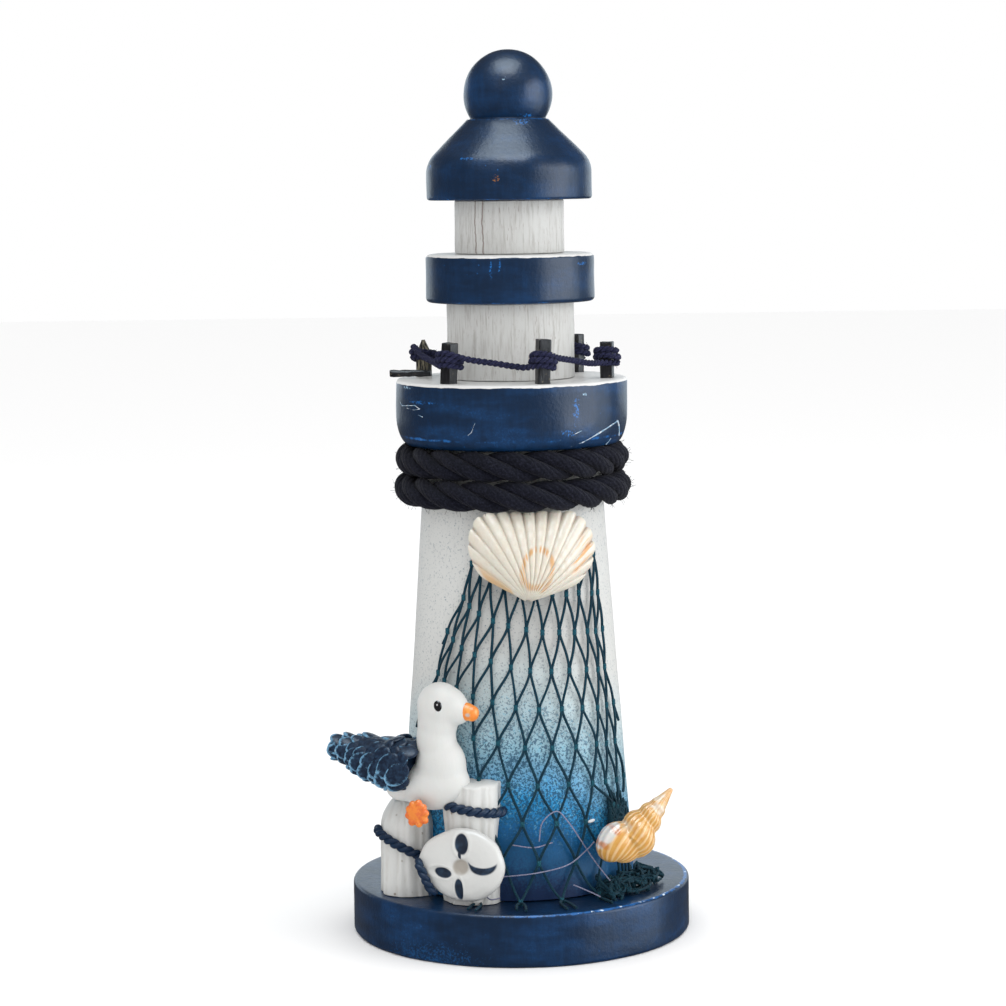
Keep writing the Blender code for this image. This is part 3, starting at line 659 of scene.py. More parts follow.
def add_scratches():
    """Fine white scratches in the gallery's paint: a bent one low on the right, and loops on the left.
    A scratch runs through points of azimuth, distance below the top and share of its width."""
    lines = (
        ((31, 12.0, 0.7), (38, 11.2, 1), (48, 9.8, 1), (58, 8.5, 1), (64.5, 7.9, 1.2), (67, 9.2, 1),
         (70, 11.0, 0.8)),
        ((60, 11.2, 0.6), (58, 12.3, 1)), ((24, 10.6, 0.5), (33, 9.4, 0.6), (36, 9.0, 0.4)),
        ((-73, 3.8, 0.5), (-69, 4.6, 0.9), (-62, 4.4, 0.7), (-55, 4.2, 0.9), (-51, 4.8, 0.8),
         (-56, 5.1, 0.6), (-63, 4.9, 0.5)),
        ((-56, 5.6, 0.4), (-49, 6.3, 0.6)), ((-18, 7.0, 0.4), (-20, 8.8, 0.5), (-22, 9.4, 0.3)),
    )
    runs = []
    for line in lines:
        knots = [(*gallery_point(azimuth, below), share) for azimuth, below, share in line]
        for start, end in zip(knots, knots[1:]):
            runs.append([Vector(start).lerp(Vector(end), i / 6) for i in range(7)])
    look = Look("scratched paint", Specular_IOR_Level=0.2)
    ragged = look.noise(look.place(), 1.2, 3)
    colour = look.mix(look.step(ragged, 0.4, 0.6), (0.62, 0.68, 0.74), (0.2, 0.34, 0.48))
    finished("gallery_scratches", threads(runs, 0.3, 0), look.finish(Base_Color=colour, Roughness=0.6), None)


def add_lantern(settings):
    """The two white drums and the navy disc between them."""
    for node, cracks, seed in (("lower_drum", (), 4), ("upper_drum", ((-38, 0.16), (-29, 0.2)), 5)):
        radius, floor, top, _ = turned_size(node)
        outline = disc_outline(radius, floor - 0.2, top + 0.2, 0.25, LANTERN_HOLE)
        bm = turned(divided(outline, 1.5), settings.turned_steps)
        wobble(bm, 0.1, 4, seed)
        look = white_paint(f"white paint, {node.replace('_', ' ')}", settings, cracks)
        finished(f"{node}_wood", bm, look, node)
    radius, floor, top, _ = turned_size("upper_disc")
    outline = disc_outline(radius, floor, top, 0.9, LANTERN_HOLE)
    bm = turned(divided(outline, 1.2), settings.turned_steps)
    wobble(bm, 0.16, 6, 6)
    marks = ((-13, top - 2.6, 0.35, 2.8, CHIP), (-7, top - 2.0, 0.3, 2.0, CHIP),
             (58, top - 1.9, 2.2, 0.4, CHIP))
    look = gloss_navy("gloss navy, upper disc", settings, ((radius, top), (radius, floor)), marks,
                      white_top=top - 0.3)
    finished("upper_disc_wood", bm, look, "upper_disc")


def add_roof(settings):
    """The roof, flat on top with a round shoulder, and the ball on it."""
    radius, floor, top, _ = turned_size("roof_cap")
    flat_radius = 7.9
    shoulder = (radius - 5.0, floor + 5.2)
    outline = [(0, top), (flat_radius, top)] + arc_points(shoulder, 5.0, 45, 0, 10)
    outline += arc_points((radius - 0.6, floor + 0.6), 0.6, 0, -90, 5)
    outline += [(LANTERN_HOLE, floor), (LANTERN_HOLE, floor + 7), (0, floor + 7)]
    bm = turned(divided(outline, 1.2), settings.turned_steps)
    wobble(bm, 0.18, 5, 7)
    marks = ((-30, floor + 7.9, 2.3, 0.35, CHIP), (-72, floor + 6.4, 1.6, 0.7, CHIP),
             (-9, floor + 4.0, 0.95, 0.95, KNOT_BROWN), (18, top - 0.6, 2.2, 0.8, CHIP))
    look = gloss_navy("gloss navy, roof", settings, ((radius, floor), (flat_radius, top)), marks,
                      wear_share=0.8)
    finished("roof_wood", bm, look, "roof_cap")

    _, seat, top, _ = turned_size("ball_finial")
    radius = 8.6
    centre = top - radius
    low = -math.degrees(math.asin((centre - seat) / radius))
    outline = arc_points((0, centre), radius, 90, low, 40)
    outline[0] = (0, top)
    bm = turned(outline + [(outline[-1][0] + 0.15, seat - 0.4), (0, seat - 0.4)], settings.turned_steps)
    wobble(bm, 0.12, 5, 8)
    marks = ((-5, centre + 2.8, 0.5, 0.6, PALE_CHIP), (30, seat + 0.3, 2.2, 0.5, CHIP))
    look = gloss_navy("gloss navy, ball", settings, ((7.3, seat),), marks, wear_share=0.6)
    finished("ball_wood", bm, look, "ball_finial")


def finish_dowels():
    """The hidden dowels keep their plain solids, in bare birch."""
    look = bare_wood("bare birch")
    for node in ("foot_dowel", "spine_dowel", "finial_dowel"):
        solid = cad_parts[node]
        solid.data.materials.clear()
        solid.data.materials.append(look)


# Railing

POST_AZIMUTHS = (-39, 18, 78, 135, 190, 245)
POST_LEANS = (3.5, 2.0, 0.5, -0.5, 0.0, 1.5)
POST_CIRCLE = GALLERY_RADIUS - 3.5
POST_SIZE = 2.4
POST_SUNK = 3.2


def post_height(number):
    return node_box(f"rail_post_{number}")[1].z - GALLERY_TOP


def post_place(azimuth, lean):
    foot = Matrix.Translation(front_point(azimuth, POST_CIRCLE, GALLERY_TOP))
    return foot @ rotation(azimuth, "Z") @ rotation(lean, "Y")


def add_posts():
    """Square sticks cut by hand: each a little uneven, with rough ends. The sixth is worn to a point."""
    look = black_stick("black stain")
    worn = Look("worn stick", Specular_IOR_Level=0.3)
    grain = worn.noise(worn.place(stretch=(1, 1, 7)), 2.0, 4, 0.7)
    colour = worn.mix(worn.step(grain, 0.42, 0.62), (0.012, 0.012, 0.014), (0.3, 0.27, 0.19))
    worn.bump(grain, 0.2, 0.8)
    worn_look = worn.finish(Base_Color=colour, Roughness=0.6)
    for number, (azimuth, lean) in enumerate(zip(POST_AZIMUTHS, POST_LEANS), 1):
        height = post_height(number)
        size = POST_SIZE * (0.74 if number == 4 else 1.0)
        bm = bmesh.new()
        bmesh.ops.create_cube(bm, size=1.0)
        bmesh.ops.scale(bm, vec=(size, size, height + POST_SUNK), verts=bm.verts)
        bmesh.ops.bevel(bm, geom=bm.edges, offset=0.18, segments=2, profile=0.5, affect="EDGES", material=-1)
        bmesh.ops.subdivide_edges(bm, edges=[e for e in bm.edges if e.calc_length() > 1.5], cuts=5,
                                  use_grid_fill=True)
        bmesh.ops.translate(bm, vec=(0, 0, (height - POST_SUNK) / 2), verts=bm.verts)
        for vert in bm.verts:
            if number == 6 and vert.co.z > height - 3:
                taper = 1 - 0.75 * smooth(height - 3, height, vert.co.z)
                vert.co.x *= taper
                vert.co.y *= taper
            vert.co += noise.noise_vector(vert.co / 1.4 + Vector((number * 3.0, 0, 0))) * 0.11
        bmesh.ops.transform(bm, matrix=post_place(azimuth, lean), verts=bm.verts)
        finished(f"railing_stick_{number}", bm, worn_look if number == 6 else look, f"rail_post_{number}",
                 50)


def add_peg():
    """The loose stick at the left: dark, with specks worn to bare wood."""
    low, high = node_box("lying_peg")
    length = high.x - low.x
    bm = bmesh.new()
    bmesh.ops.create_cone(bm, cap_ends=True, segments=16, radius1=0.72, radius2=0.6, depth=length)
    ends = [e for e in bm.edges if e.is_manifold and e.calc_face_angle() > 1.2]
    bmesh.ops.bevel(bm, geom=ends, offset=0.15, segments=2, profile=0.5, affect="EDGES", material=-1)
    bmesh.ops.subdivide_edges(bm, edges=[e for e in bm.edges if e.calc_length() > 4], cuts=12)
    for vert in bm.verts:
        vert.co += noise.noise_vector(vert.co / 1.1) * 0.16
    lying = Matrix.Translation((low + high) / 2) @ rotation(-5, "Z") @ rotation(90, "Y")
    bmesh.ops.transform(bm, matrix=lying, verts=bm.verts)
    finished("loose_stick", bm, black_stick("black stain, peg"), "lying_peg")


def string_route():
    """Points down the string's middle: two close turns round each stick in turn, then across to the next."""
    reach = POST_SIZE / 2 + 0.62
    order = (3, 4, 5, 0, 1, 2)
    points = []
    for stop, index in enumerate(order):
        azimuth, lean = POST_AZIMUTHS[index], POST_LEANS[index]
        turns = 2.0 if stop in (0, len(order) - 1) else 2.15
        size = 0.82 if index == 3 else 1.0
        place = post_place(azimuth, lean)
        steps = 34
        for i in range(steps + 1):
            share = i / steps
            angle = math.tau * turns * (share - 0.5) - math.pi / 2
            side, out = math.cos(angle), math.sin(angle)
            corner = (abs(side) ** 3.2 + abs(out) ** 3.2) ** (1 / 3.2)
            radius = reach * size / corner + 0.3 * math.sin(share * math.pi)
            height = 3.1 + 2.3 * share + 0.55 * math.sin(angle + stop)
            points.append(place @ Vector((side * radius, out * radius, height)))
        if stop < len(order) - 1:
            following = order[stop + 1]
            nxt = post_place(POST_AZIMUTHS[following], POST_LEANS[following])
            start = points[-1]
            end = nxt @ Vector((-reach, 0.3, 3.1))
            for i in range(1, 12):
                t = i / 12
                sag = Vector((0, 0, -0.55 * math.sin(math.pi * t) + 0.12 * math.sin(9 * t + stop)))
                points.append(start.lerp(end, t) + sag)
    return points


def along(points, spacing):
    """A line's points set at even spacing."""
    lengths = [0.0]
    for start, end in zip(points, points[1:]):
        lengths.append(lengths[-1] + (Vector(end) - Vector(start)).length)
    count = int(lengths[-1] / spacing)
    even, cursor = [], 0
    for i in range(count + 1):
        target = lengths[-1] * i / count
        while cursor < len(points) - 2 and lengths[cursor + 1] < target:
            cursor += 1
        span = max(lengths[cursor + 1] - lengths[cursor], 1e-9)
        share = (target - lengths[cursor]) / span
        even.append(Vector(points[cursor]).lerp(Vector(points[cursor + 1]), share))
    return even


def plied(points, plies, offset, lay, phase=0.0, squash=1.0):
    """The routes of a cord's plies, twisted round its middle line."""
    runs = [[] for _ in range(plies)]
    distance = 0.0
    for number, point in enumerate(points):
        ahead = points[min(number + 1, len(points) - 1)]
        behind = points[max(number - 1, 0)]
        forward = (ahead - behind).normalized()
        side = forward.cross(Vector((0, 0, 1)))
        side = side.normalized() if side.length > 1e-6 else Vector((1, 0, 0))
        up = side.cross(forward)
        for ply, run in enumerate(runs):
            angle = math.tau * (distance / lay + ply / plies) + phase
            run.append(point + side * (offset * squash * math.cos(angle)) + up * (offset * math.sin(angle)))
        if number < len(points) - 1:
            distance += (points[number + 1] - point).length
    return runs


def add_string(settings):
    diameter = settings.string_diameter / MM
    route = along(curved(string_route(), 3), 0.24)
    bm = threads(plied(route, 2, diameter * 0.25, 2.1), diameter * 0.58)
    tuft = random.Random(5)
    hairs = []
    for _ in range(90):
        start = route[tuft.randrange(len(route))]
        step = Vector([tuft.uniform(-1, 1) for _ in range(3)]).normalized()
        bend = Vector([tuft.uniform(-1, 1) for _ in range(3)]) * 0.25
        hairs.append([start, start + step * 0.6, start + step * 1.0 + bend])
    merged(bm, threads(hairs, 0.05, 0))
    look = cotton("navy string", settings.string, (0.04, 0.04, 0.1), 4)
    finished("railing_string", bm, look, "rail_string")


# Rope

PLAIN_ROPE_DIAMETER = 5.1


def rope_route(spacing):
    """Two turns under the gallery, stepping down at the back, through the middle of the plain rope."""
    low, high = node_box("rope_wrap")
    diameter = PLAIN_ROPE_DIAMETER
    first = high.z - diameter / 2 + 0.45
    drop = high.z - low.z - diameter + 0.2
    sweep, step = 660.0, 60.0
    count = int(sweep)
    points = []
    for i in range(count + 1):
        angle = sweep * i / count
        height = first - drop * smooth(360 - step, 360, angle)
        radius = tower_radius(height - diameter / 2) + 0.25 + diameter / 2
        turn = math.radians(120 + angle)
        points.append(Vector((radius * math.cos(turn), radius * math.sin(turn), height)))
    return along(points, spacing)


def yarn_section(radius, yarns, depth):
    """The section of a strand: a ring of yarns bulging out of a round."""
    outline = []
    points = 54
    for i in range(points):
        angle = math.tau * i / points
        bulge = abs(math.cos(angle * yarns / 2)) ** 0.8
        reach = radius * (1 - depth + depth * bulge)
        outline.append((reach * math.cos(angle), reach * math.sin(angle)))
    return outline


def add_rope(settings):
    """Three strands of nine yarns, laid up loosely, with stray fibres."""
    spacing = 0.42
    lay = settings.rope_lay / MM
    diameter = settings.rope_diameter / MM
    route = rope_route(spacing)
    strand = diameter * 0.485
    runs = plied(route, 3, (diameter - strand) / 2, -lay, 0.6, squash=0.84)
    loose = random.Random(11)
    for number, run in enumerate(runs):
        for i, point in enumerate(run):
            swell = 1 + 0.05 * noise.noise(Vector((i * 0.045, number * 9.0, 0)))
            end = min(i, len(run) - 1 - i) * spacing
            run[i] = (*point, swell * (1 if end > 1.2 else 0.75 + 0.2 * end))
    bm = threads(runs, strand, profile=yarn_section(strand / 2, 9, 0.08), twist=spacing * math.tau / 13)
    hairs = []
    for _ in range(900):
        i = loose.randrange(2, len(route) - 2)
        run = runs[loose.randrange(3)]
        start = Vector(run[i][:3])
        out = (start - route[i]).normalized()
        along_rope = (Vector(run[i + 1][:3]) - start).normalized()
        length = loose.uniform(0.5, 1.5)
        curl = Vector([loose.uniform(-1, 1) for _ in range(3)]) * 0.35
        root = start + out * strand * 0.4
        lean = along_rope * loose.uniform(-0.9, 0.9)
        tip = root + (out * 0.75 + lean + curl) * length
        hairs.append([root, root + (out * 0.5 + lean) * length * 0.5, tip])
    merged(bm, threads(hairs, 0.06, 0))
    look = cotton("navy cotton rope", settings.rope, (0.016, 0.017, 0.03), 2.6)
    finished("cotton_rope", bm, look, "rope_wrap", 60)


# Net

NET_TOP = 76.7
NET_ROW = 7.35
NET_ROWS = 9
NET_MIDDLE = 0.5


def net_knot(column, row):
    """Where a knot hangs: the net widens downwards, its left side climbs, and its right side is gathered."""
    height = NET_TOP - NET_ROW * row
    away = column - NET_MIDDLE
    spread = max(3.0, 3.2 + 0.083 * (62 - height))
    drawn = 1 - 0.0065 * min(away, 0) ** 2
    arc = 4.1 + max(height - 40, 0) * 0.045 + spread * away * drawn
    if arc > 16:
        arc = 16 + (arc - 16) * 0.6
    if row >= 7 and column >= 3:
        arc = 21 + (column - 3) * 1.1
        height = 27.5 - (column - 3) * 0.4
    left = max(-column, 0)
    height += 0.75 * left + 0.07 * left * left - 0.25 * min(max(column, 0), 4)
    wander = noise.noise_vector(Vector((column * 1.7, row * 2.3, 4.0))) * (0.5 if row > 5 else 0.3)
    return arc + wander.x, height + wander.y


def hangs(column, row):
    """Whether the net has a knot there: its sides are cut, and it is left off behind the gull."""
    arc, height = net_knot(column, row)
    left = (-4.6, -5.1, -5.6)[min(row, 2)] if row < 3 else -6.1
    right = 4.6 if row == 0 else 5.6 if row < 7 else 4.6 if row == 7 else 2.6
    behind_gull = height < 44 and arc < -11.5 or row > 5 and arc < -8
    return left < column < right and not behind_gull


def net_place(column, row, lift):
    """A knot's place. The last row's knots lie on the base, in front of the tower's foot."""
    arc, height = net_knot(column, row)
    if row < NET_ROWS:
        return on_tower(arc, height, lift)
    return front_point(math.degrees(arc / TOWER_FOOT_RADIUS), TOWER_FOOT_RADIUS + 2.6, BASE_TOP + 0.55)


def net_edge(upper, lower, lift, sway):
    """A length of twine between two knots. It leaves each knot steeply, and keeps close to the tower."""
    points = []
    for i in range(9):
        t = i / 8
        across = 0.55 * t + 0.45 * smooth(0, 1, t)
        arc = upper[0] + (lower[0] - upper[0]) * across + sway * math.sin(math.pi * t)
        points.append(on_tower(arc, upper[1] + (lower[1] - upper[1]) * t, lift + 0.3 * math.sin(math.pi * t)))
    return points


def knot_strokes(place, twine, turn):
    """A knot as two short fat strokes that cross."""
    aside = front_point(turn + 90, 1, 0)
    strokes = []
    for tilt in (0.5, -0.5):
        way = (aside * math.sin(tilt) + Vector((0, 0, math.cos(tilt)))) * twine
        strokes.append([(*(place + way * far), thick)
                        for far, thick in ((-1.25, 0.6), (-0.5, 1.3), (0.5, 1.3), (1.25, 0.6))])
    return strokes


def add_net(settings):
    """The knotted net on the tower's front, with cut ends down both sides and legs spread on the base."""
    twine = settings.twine_diameter / MM
    chance = random.Random(3)
    runs, knots = [], []
    lift = 0.3 + twine
    for row in range(NET_ROWS + 1):
        for step in range(-7, 8):
            column = step + (0.5 if row % 2 == 0 else 0)
            if not hangs(column, row):
                continue
            here = net_knot(column, row)
            place = net_place(column, row, lift + 0.1)
            knots += knot_strokes(place, twine, math.degrees(here[0] / tower_radius(here[1])))
            if row == NET_ROWS:
                out = Vector((place.x, place.y, 0)).normalized()
                side = Vector((-out.y, out.x, 0))
                for leg in (-1, 1):
                    bend = place + out * 1.5 + side * leg * 0.8 - Vector((0, 0, 0.1))
                    tip = place + out * chance.uniform(4.0, 5.4) + side * leg * chance.uniform(0.5, 1.1)
                    runs.append(curved([place, bend, Vector((tip.x, tip.y, BASE_TOP + twine / 2 + 0.05))], 5))
                continue
            for side in (-0.5, 0.5):
                sway = chance.uniform(-0.15, 0.15)
                lower = net_knot(column + side, row + 1)
                edge = net_edge(here, lower, lift, sway)
                if hangs(column + side, row + 1):
                    if row == NET_ROWS - 1:
                        bottom = net_place(column + side, row + 1, lift)
                        middle = on_tower(here[0] * 0.4 + lower[0] * 0.6, TOWER_FLOOR + 2.6, 1.1)
                        edge = curved([edge[0], middle, bottom], 6)
                    runs.append(edge)
                elif abs(column) > 4 and chance.random() < 0.7:
                    runs.append(edge[:chance.randrange(4, 8)])
    look = cotton("net twine", settings.net, (0.008, 0.06, 0.085), 5, 0.75)
    finished("knotted_net", threads(runs, twine, 1), look, "fishing_net", 60)
    teal = cotton("net knots", (0.005, 0.05, 0.08), (0.02, 0.14, 0.18), 4, 0.7)
    finished("net_knots", threads(knots, twine, 1), teal, None, 60)


def crumpled(chance, count, arcs, heights, offs, twine):
    """Loose loops of twine heaped within a stretch of the tower's side: runs of points, and their knots."""
    runs, knots = [], []
    for _ in range(count):
        arc = chance.uniform(*arcs)
        knot_line = []
        for _ in range(chance.randrange(4, 7)):
            arc = min(max(arc + chance.uniform(-4.2, 4.2), arcs[0]), arcs[1])
            off = chance.uniform(*offs)
            share = (off - offs[0]) / (offs[1] - offs[0])
            top = heights[1] - (heights[1] - heights[0]) * 0.75 * share
            knot_line.append(on_tower(arc, heights[0] + (top - heights[0]) * chance.random(), off))
        runs.append(curved(knot_line, 5))
        for place in knot_line[1:-1:2]:
            knots += knot_strokes(place, twine, chance.uniform(0, 90))
    return runs, knots


def add_heap(settings):
    """The net's loose end: crumpled twine round the tower's foot, gathered up the right side above it,
    and pale threads drawn out of it."""
    twine = settings.twine_diameter / MM
    chance = random.Random(21)
    runs, knots = crumpled(chance, 34, (15.5, 30.5), (BASE_TOP + 0.4, BASE_TOP + 4.2), (1.1, 6.6), twine)
    look = cotton("net twine, heap", settings.net, (0.015, 0.075, 0.095), 5, 0.75)
    finished("net_loose_end", threads(runs + knots, twine, 1), look, "net_heap", 60)
    runs, knots = crumpled(chance, 26, (19.5, 25.5), (19.5, 29.5), (0.6, 2.2), twine)
    for arc in (20.2, 21.4, 22.6, 23.8):
        hanging = [on_tower(arc, 29, 0.8), on_tower(arc + 0.8, 22, 1.2), on_tower(arc + 1.2, 13.5, 1.6)]
        runs.append(curved(hanging, 6))
    finished("net_gathered", threads(runs + knots, twine, 1), look, None, 60)

    strands = [
        [(4, 22, 0.9), (4.6, 25.6, 1.2), (7.2, 27.6, 1.4), (9.4, 25.4, 1.6), (12.4, 21, 1.3), (15, 17, 1.6),
         (17.5, 12.6, 3.4)],
        [(-4.5, 15.2, 1.2), (3, 16.0, 1.4), (9, 17.2, 1.8), (13, 19.4, 1.5), (15, 20.8, 1.4)],
        [(-1, 21.4, 0.8), (3, 20.9, 1.2), (6.5, 21.6, 1.0)],
        [(10, 13.4, 2.2), (12.5, 12.0, 3.8), (13.6, 11.2, 5.2)],
        [(-6, 12.4, 2.4), (-4.6, 11.6, 3.6), (-3, 11.8, 3.2)],
    ]
    runs = [curved([on_tower(*place) for place in strand], 8) for strand in strands]
    pale = cotton("pale thread", (0.16, 0.16, 0.26), (0.42, 0.44, 0.55), 5, 0.6)
    finished("pale_threads", threads(runs, 0.26, 1), pale, None, 60)
    bm = bmesh.new()
    ball_mesh(bm, on_tower(15.2, 24.6, 0.4), (0.9, 0.35, 0.35), (0, -8, 35), 16, 10)
    look = Look("dried glue", Coat_Weight=0.6, Coat_Roughness=0.1)
    glue = look.finish(Base_Color=(0.8, 0.82, 0.85), Roughness=0.25)
    finished("glue_spot", bm, glue, None, 60)


# Shells

def add_scallop():
    """A scallop's ribbed fan, its hinge downwards, tucked up to the rope."""
    low, high = node_box("scallop_shell")
    ribs, half = 16, 67.0
    umbo_height = low.z - 0.1
    azimuth = 6.5
    bm = bmesh.new()
    across, long = 224, 56
    bmesh.ops.create_grid(bm, x_segments=across, y_segments=long, size=1.0)
    growth = bm.verts.layers.float.new("growth")
    fan = bm.verts.layers.float.new("fan")
    top_limit = high.z - umbo_height + 0.1
    for vert in bm.verts:
        share, out = vert.co.x, (vert.co.y + 1) / 2
        angle = 7 + share * half
        lean = math.radians(angle)
        reach = 20.5 * (1 - 0.52 * abs(share) ** 3.2) * (0.97 - 0.012 * math.tanh(share * 3))
        limit = top_limit / max(math.cos(lean), 0.2)
        reach = -math.log(math.exp(-reach / 0.5) + math.exp(-limit / 0.5)) * 0.5
        groove = 1 - (1 - abs(math.sin(math.pi * ribs * (share + 1) / 2))) ** 1.7
        reach *= 1 + 0.03 * (groove - 0.5) * smooth(0.7, 1.0, out)
        crown = math.sin(math.pi * min(out ** 0.62, 1.0)) ** 0.85 if out > 0 else 0.0
        flank = max(1 - abs(share) ** 2.6, 0.0) ** 0.7
        rings = 0.05 * math.sin(out * 46 + noise.noise(Vector((share * 3, out * 6, 1))) * 3)
        rise = 0.35 + 4.9 * crown * (0.25 + 0.75 * flank)
        rise += (0.5 * (groove - 0.6) * out ** 0.55 + rings) * flank ** 0.3
        rise += 1.2 * (1 - smooth(0.0, 0.16, out)) * flank
        distance = reach * (0.03 + 0.97 * out)
        vert[growth] = out
        vert[fan] = share
        vert.co = (distance * math.sin(lean), distance * math.cos(lean), rise)
    bmesh.ops.remove_doubles(bm, verts=bm.verts, dist=0.0005)
    bmesh.ops.recalc_face_normals(bm, faces=bm.faces)
    slope = math.degrees(math.atan2(TOWER_FOOT_RADIUS - TOWER_TOP_RADIUS, TOWER_TOP - TOWER_FLOOR))
    stand = Matrix.Translation(front_point(azimuth, tower_radius(umbo_height) + 1.5, umbo_height))
    stand = stand @ rotation(azimuth + 4, "Z") @ rotation(90 - slope, "X")
    bmesh.ops.transform(bm, matrix=stand, verts=bm.verts)
    bmesh.ops.solidify(bm, geom=bm.faces[:], thickness=0.8)
    look = Look("scallop shell", Coat_Weight=0.25, Coat_Roughness=0.3, Subsurface_Weight=0.12,
                Subsurface_Scale=0.002)
    out, share = look.attribute("growth"), look.attribute("fan")
    point = look.place()
    half_ribs = math.pi * ribs / 2
    valley = 1 - look.step(abs((share * half_ribs + half_ribs).sine()), 0.05, 0.6)
    blotch = look.noise(point, 0.28, 3)
    fine = look.noise(point, 2.2, 4, 0.7)
    cream, peach, tan = (0.62, 0.58, 0.49), (0.62, 0.45, 0.29), (0.6, 0.28, 0.06)
    colour = look.mix(look.step(fine, 0.3, 0.8) * 0.5, cream, (0.7, 0.68, 0.62))
    colour = look.mix(valley * 0.4, colour, (0.5, 0.42, 0.35))
    # Painted shade: the rib valleys darken towards the top margin, where the rope casts its shadow.
    colour = look.mix(valley * look.step(out, 0.84, 1.0) * 0.4, colour, (0.24, 0.21, 0.19))
    colour = look.mix(look.step(blotch, 0.5, 0.75) * 0.35, colour, (0.64, 0.54, 0.43))
    ring_x, ring_y = (share * out - 0.02) / 0.13, (out - 0.37) / 0.22
    ring = (ring_x * ring_x + ring_y * ring_y) ** 0.5
    dashes = look.step(look.noise(look.join(share * 30, out * 3, 0), 1.0, 2), 0.42, 0.56)
    ring_line = band(look, ring, 1.0, 0.05, 0.22) * dashes
    colour = look.mix(ring_line * 0.8, colour, tan)
    colour = look.mix((1 - look.step(ring, 0.7, 1.0)) * look.step(fine, 0.45, 0.7) * 0.25, colour, peach)
    streaks = look.step(look.noise(look.join(share * 24, out * 2.5, 3), 1.0, 3), 0.45, 0.6)
    right = band(look, share, 0.64, 0.08, 0.1) * band(look, out, 0.8, 0.1, 0.12) * streaks
    left = look.step(0 - share, 0.8, 0.96) * band(look, out, 0.6, 0.25, 0.1)
    colour = look.mix(right * 0.8, colour, (0.72, 0.33, 0.08))
    colour = look.mix(left * 0.7, colour, (0.6, 0.34, 0.11))
    look.bump(fine * 0.5 + look.noise(point, 5, 2) * 0.5, 0.08, 0.5)
    shell = look.finish(Base_Color=colour, Roughness=0.38)
    finished("scallop", bm, shell, "scallop_shell", 80)


# The sea snail's middle: azimuth, distance off the tower's side and height above the base
SNAIL_MIDDLE = (46.4, 7.45, 11.3)
SNAIL_RIDGES = 21
SNAIL_RIDGE_LEAN = 0.55


def snail_place():
    """The sea snail's own axes: its axis is Z, and its tip points up and to the right."""
    azimuth, off, height = SNAIL_MIDDLE
    high = BASE_TOP + height
    middle = front_point(azimuth, tower_radius(high) + off, high)
    stand = Matrix.Translation(middle) @ rotation(16, "Z") @ rotation(42, "Y")
    return stand @ Matrix.Translation((0, 0, -7.7))


def add_snail():
    """A pointed sea snail's shell, wound as one growing tube and fused, with a thick lip at its mouth."""
    length, growth, turns = 21.5, 1.5, 5.6
    start_radius, start_reach, mouth_height = 3.75, 1.85, 5.6
    run = []
    steps = int(turns * 40)
    for i in range(steps + 1):
        t = turns * (i / steps - 1)
        scale = growth ** t
        angle = math.tau * t + math.radians(188)
        height = length - 0.7 - (length - 0.7 - mouth_height) * scale
        run.append((start_reach * scale * math.cos(angle), start_reach * scale * math.sin(angle), height,
                    max(scale * start_radius, 0.25)))
    bm = threads([run], 2.0, 8)
    ball_mesh(bm, (0, 0, mouth_height + 1.2), (3.2, 3.2, 4.0))
    lip = run[-1]
    ball_mesh(bm, (lip[0] * 1.2, lip[1] * 1.2, lip[2]), (3.4, 3.4, 4.2), (0, 0, 0), 32, 20)
    spire = Matrix.Translation((0, 0, 14.2))
    bmesh.ops.create_cone(bm, cap_ends=True, segments=32, radius1=3.9, radius2=0.4, depth=12.4, matrix=spire)
    bm = remeshed(bm, 0.17, 5)
    for vert in bm.verts:
        angle = math.atan2(vert.co.y, vert.co.x)
        ridge = math.sin(angle * SNAIL_RIDGES + vert.co.z * SNAIL_RIDGE_LEAN)
        on_body = smooth(20, 13, vert.co.z)
        out = Vector((vert.co.x, vert.co.y, 0))
        if out.length > 0.3:
            vert.co += out.normalized() * 0.07 * ridge * on_body
    place = snail_place()
    bmesh.ops.transform(bm, matrix=place, verts=bm.verts)
    look = Look("snail shell", Coat_Weight=0.45, Coat_Roughness=0.15, Subsurface_Weight=0.1,
                Subsurface_Scale=0.002)
    point = look.place(place)
    x, y, z = look.split(point)
    wave = (y.angle_from(x) * SNAIL_RIDGES + z * SNAIL_RIDGE_LEAN).sine()
    stripe = look.step(wave, -0.2, 0.85)
    patches = look.noise(point, 0.22, 3)
    fine = look.noise(look.place(place, (1, 1, 3)), 1.6, 4, 0.6)
    amber, pale, milk = (0.62, 0.33, 0.075), (0.74, 0.52, 0.27), (0.7, 0.64, 0.55)
    colour = look.mix(look.step(fine, 0.35, 0.75), amber, (0.56, 0.26, 0.05))
    colour = look.mix(stripe * 0.75, colour, pale)
    colour = look.mix(look.step(patches, 0.5, 0.66) * look.step(z, 7, 11) * 0.85, colour, milk)
    mouth = look.place(place @ rotation(188, "Z"))
    mouth_x, mouth_y, _ = look.split(mouth)
    lip_band = look.step(mouth_x + fine * 0.6, 4.5, 5.0)
    colour = look.mix(lip_band, colour, (0.68, 0.66, 0.63))
    brown = (0.55, 0.17, 0.03)
    for height in (3.6, 7.2):
        dot = spot(look, look.join(mouth_x, 0, z), (4.6, height), (0.7, 0.6), 0.5) * look.step(fine, 0.3, 0.5)
        colour = look.mix(dot * 0.8, colour, brown)
    look.bump(fine * 0.5 + stripe * 0.5, 0.1, 0.5)
    shell = look.finish(Base_Color=colour, Roughness=0.28)
    finished("sea_snail", bm, shell, "spiral_shell", 80)


# Gull group

GULL_TURN = -24.0
GULL_MIDDLE = (-36.2, 4.2, 23.0)


def group_point(place):
    azimuth, off, height = place
    high = BASE_TOP + height
    return front_point(azimuth, tower_radius(high) + off, high)


def gull_place():
    return Matrix.Translation(group_point(GULL_MIDDLE)) @ rotation(GULL_TURN, "Z")


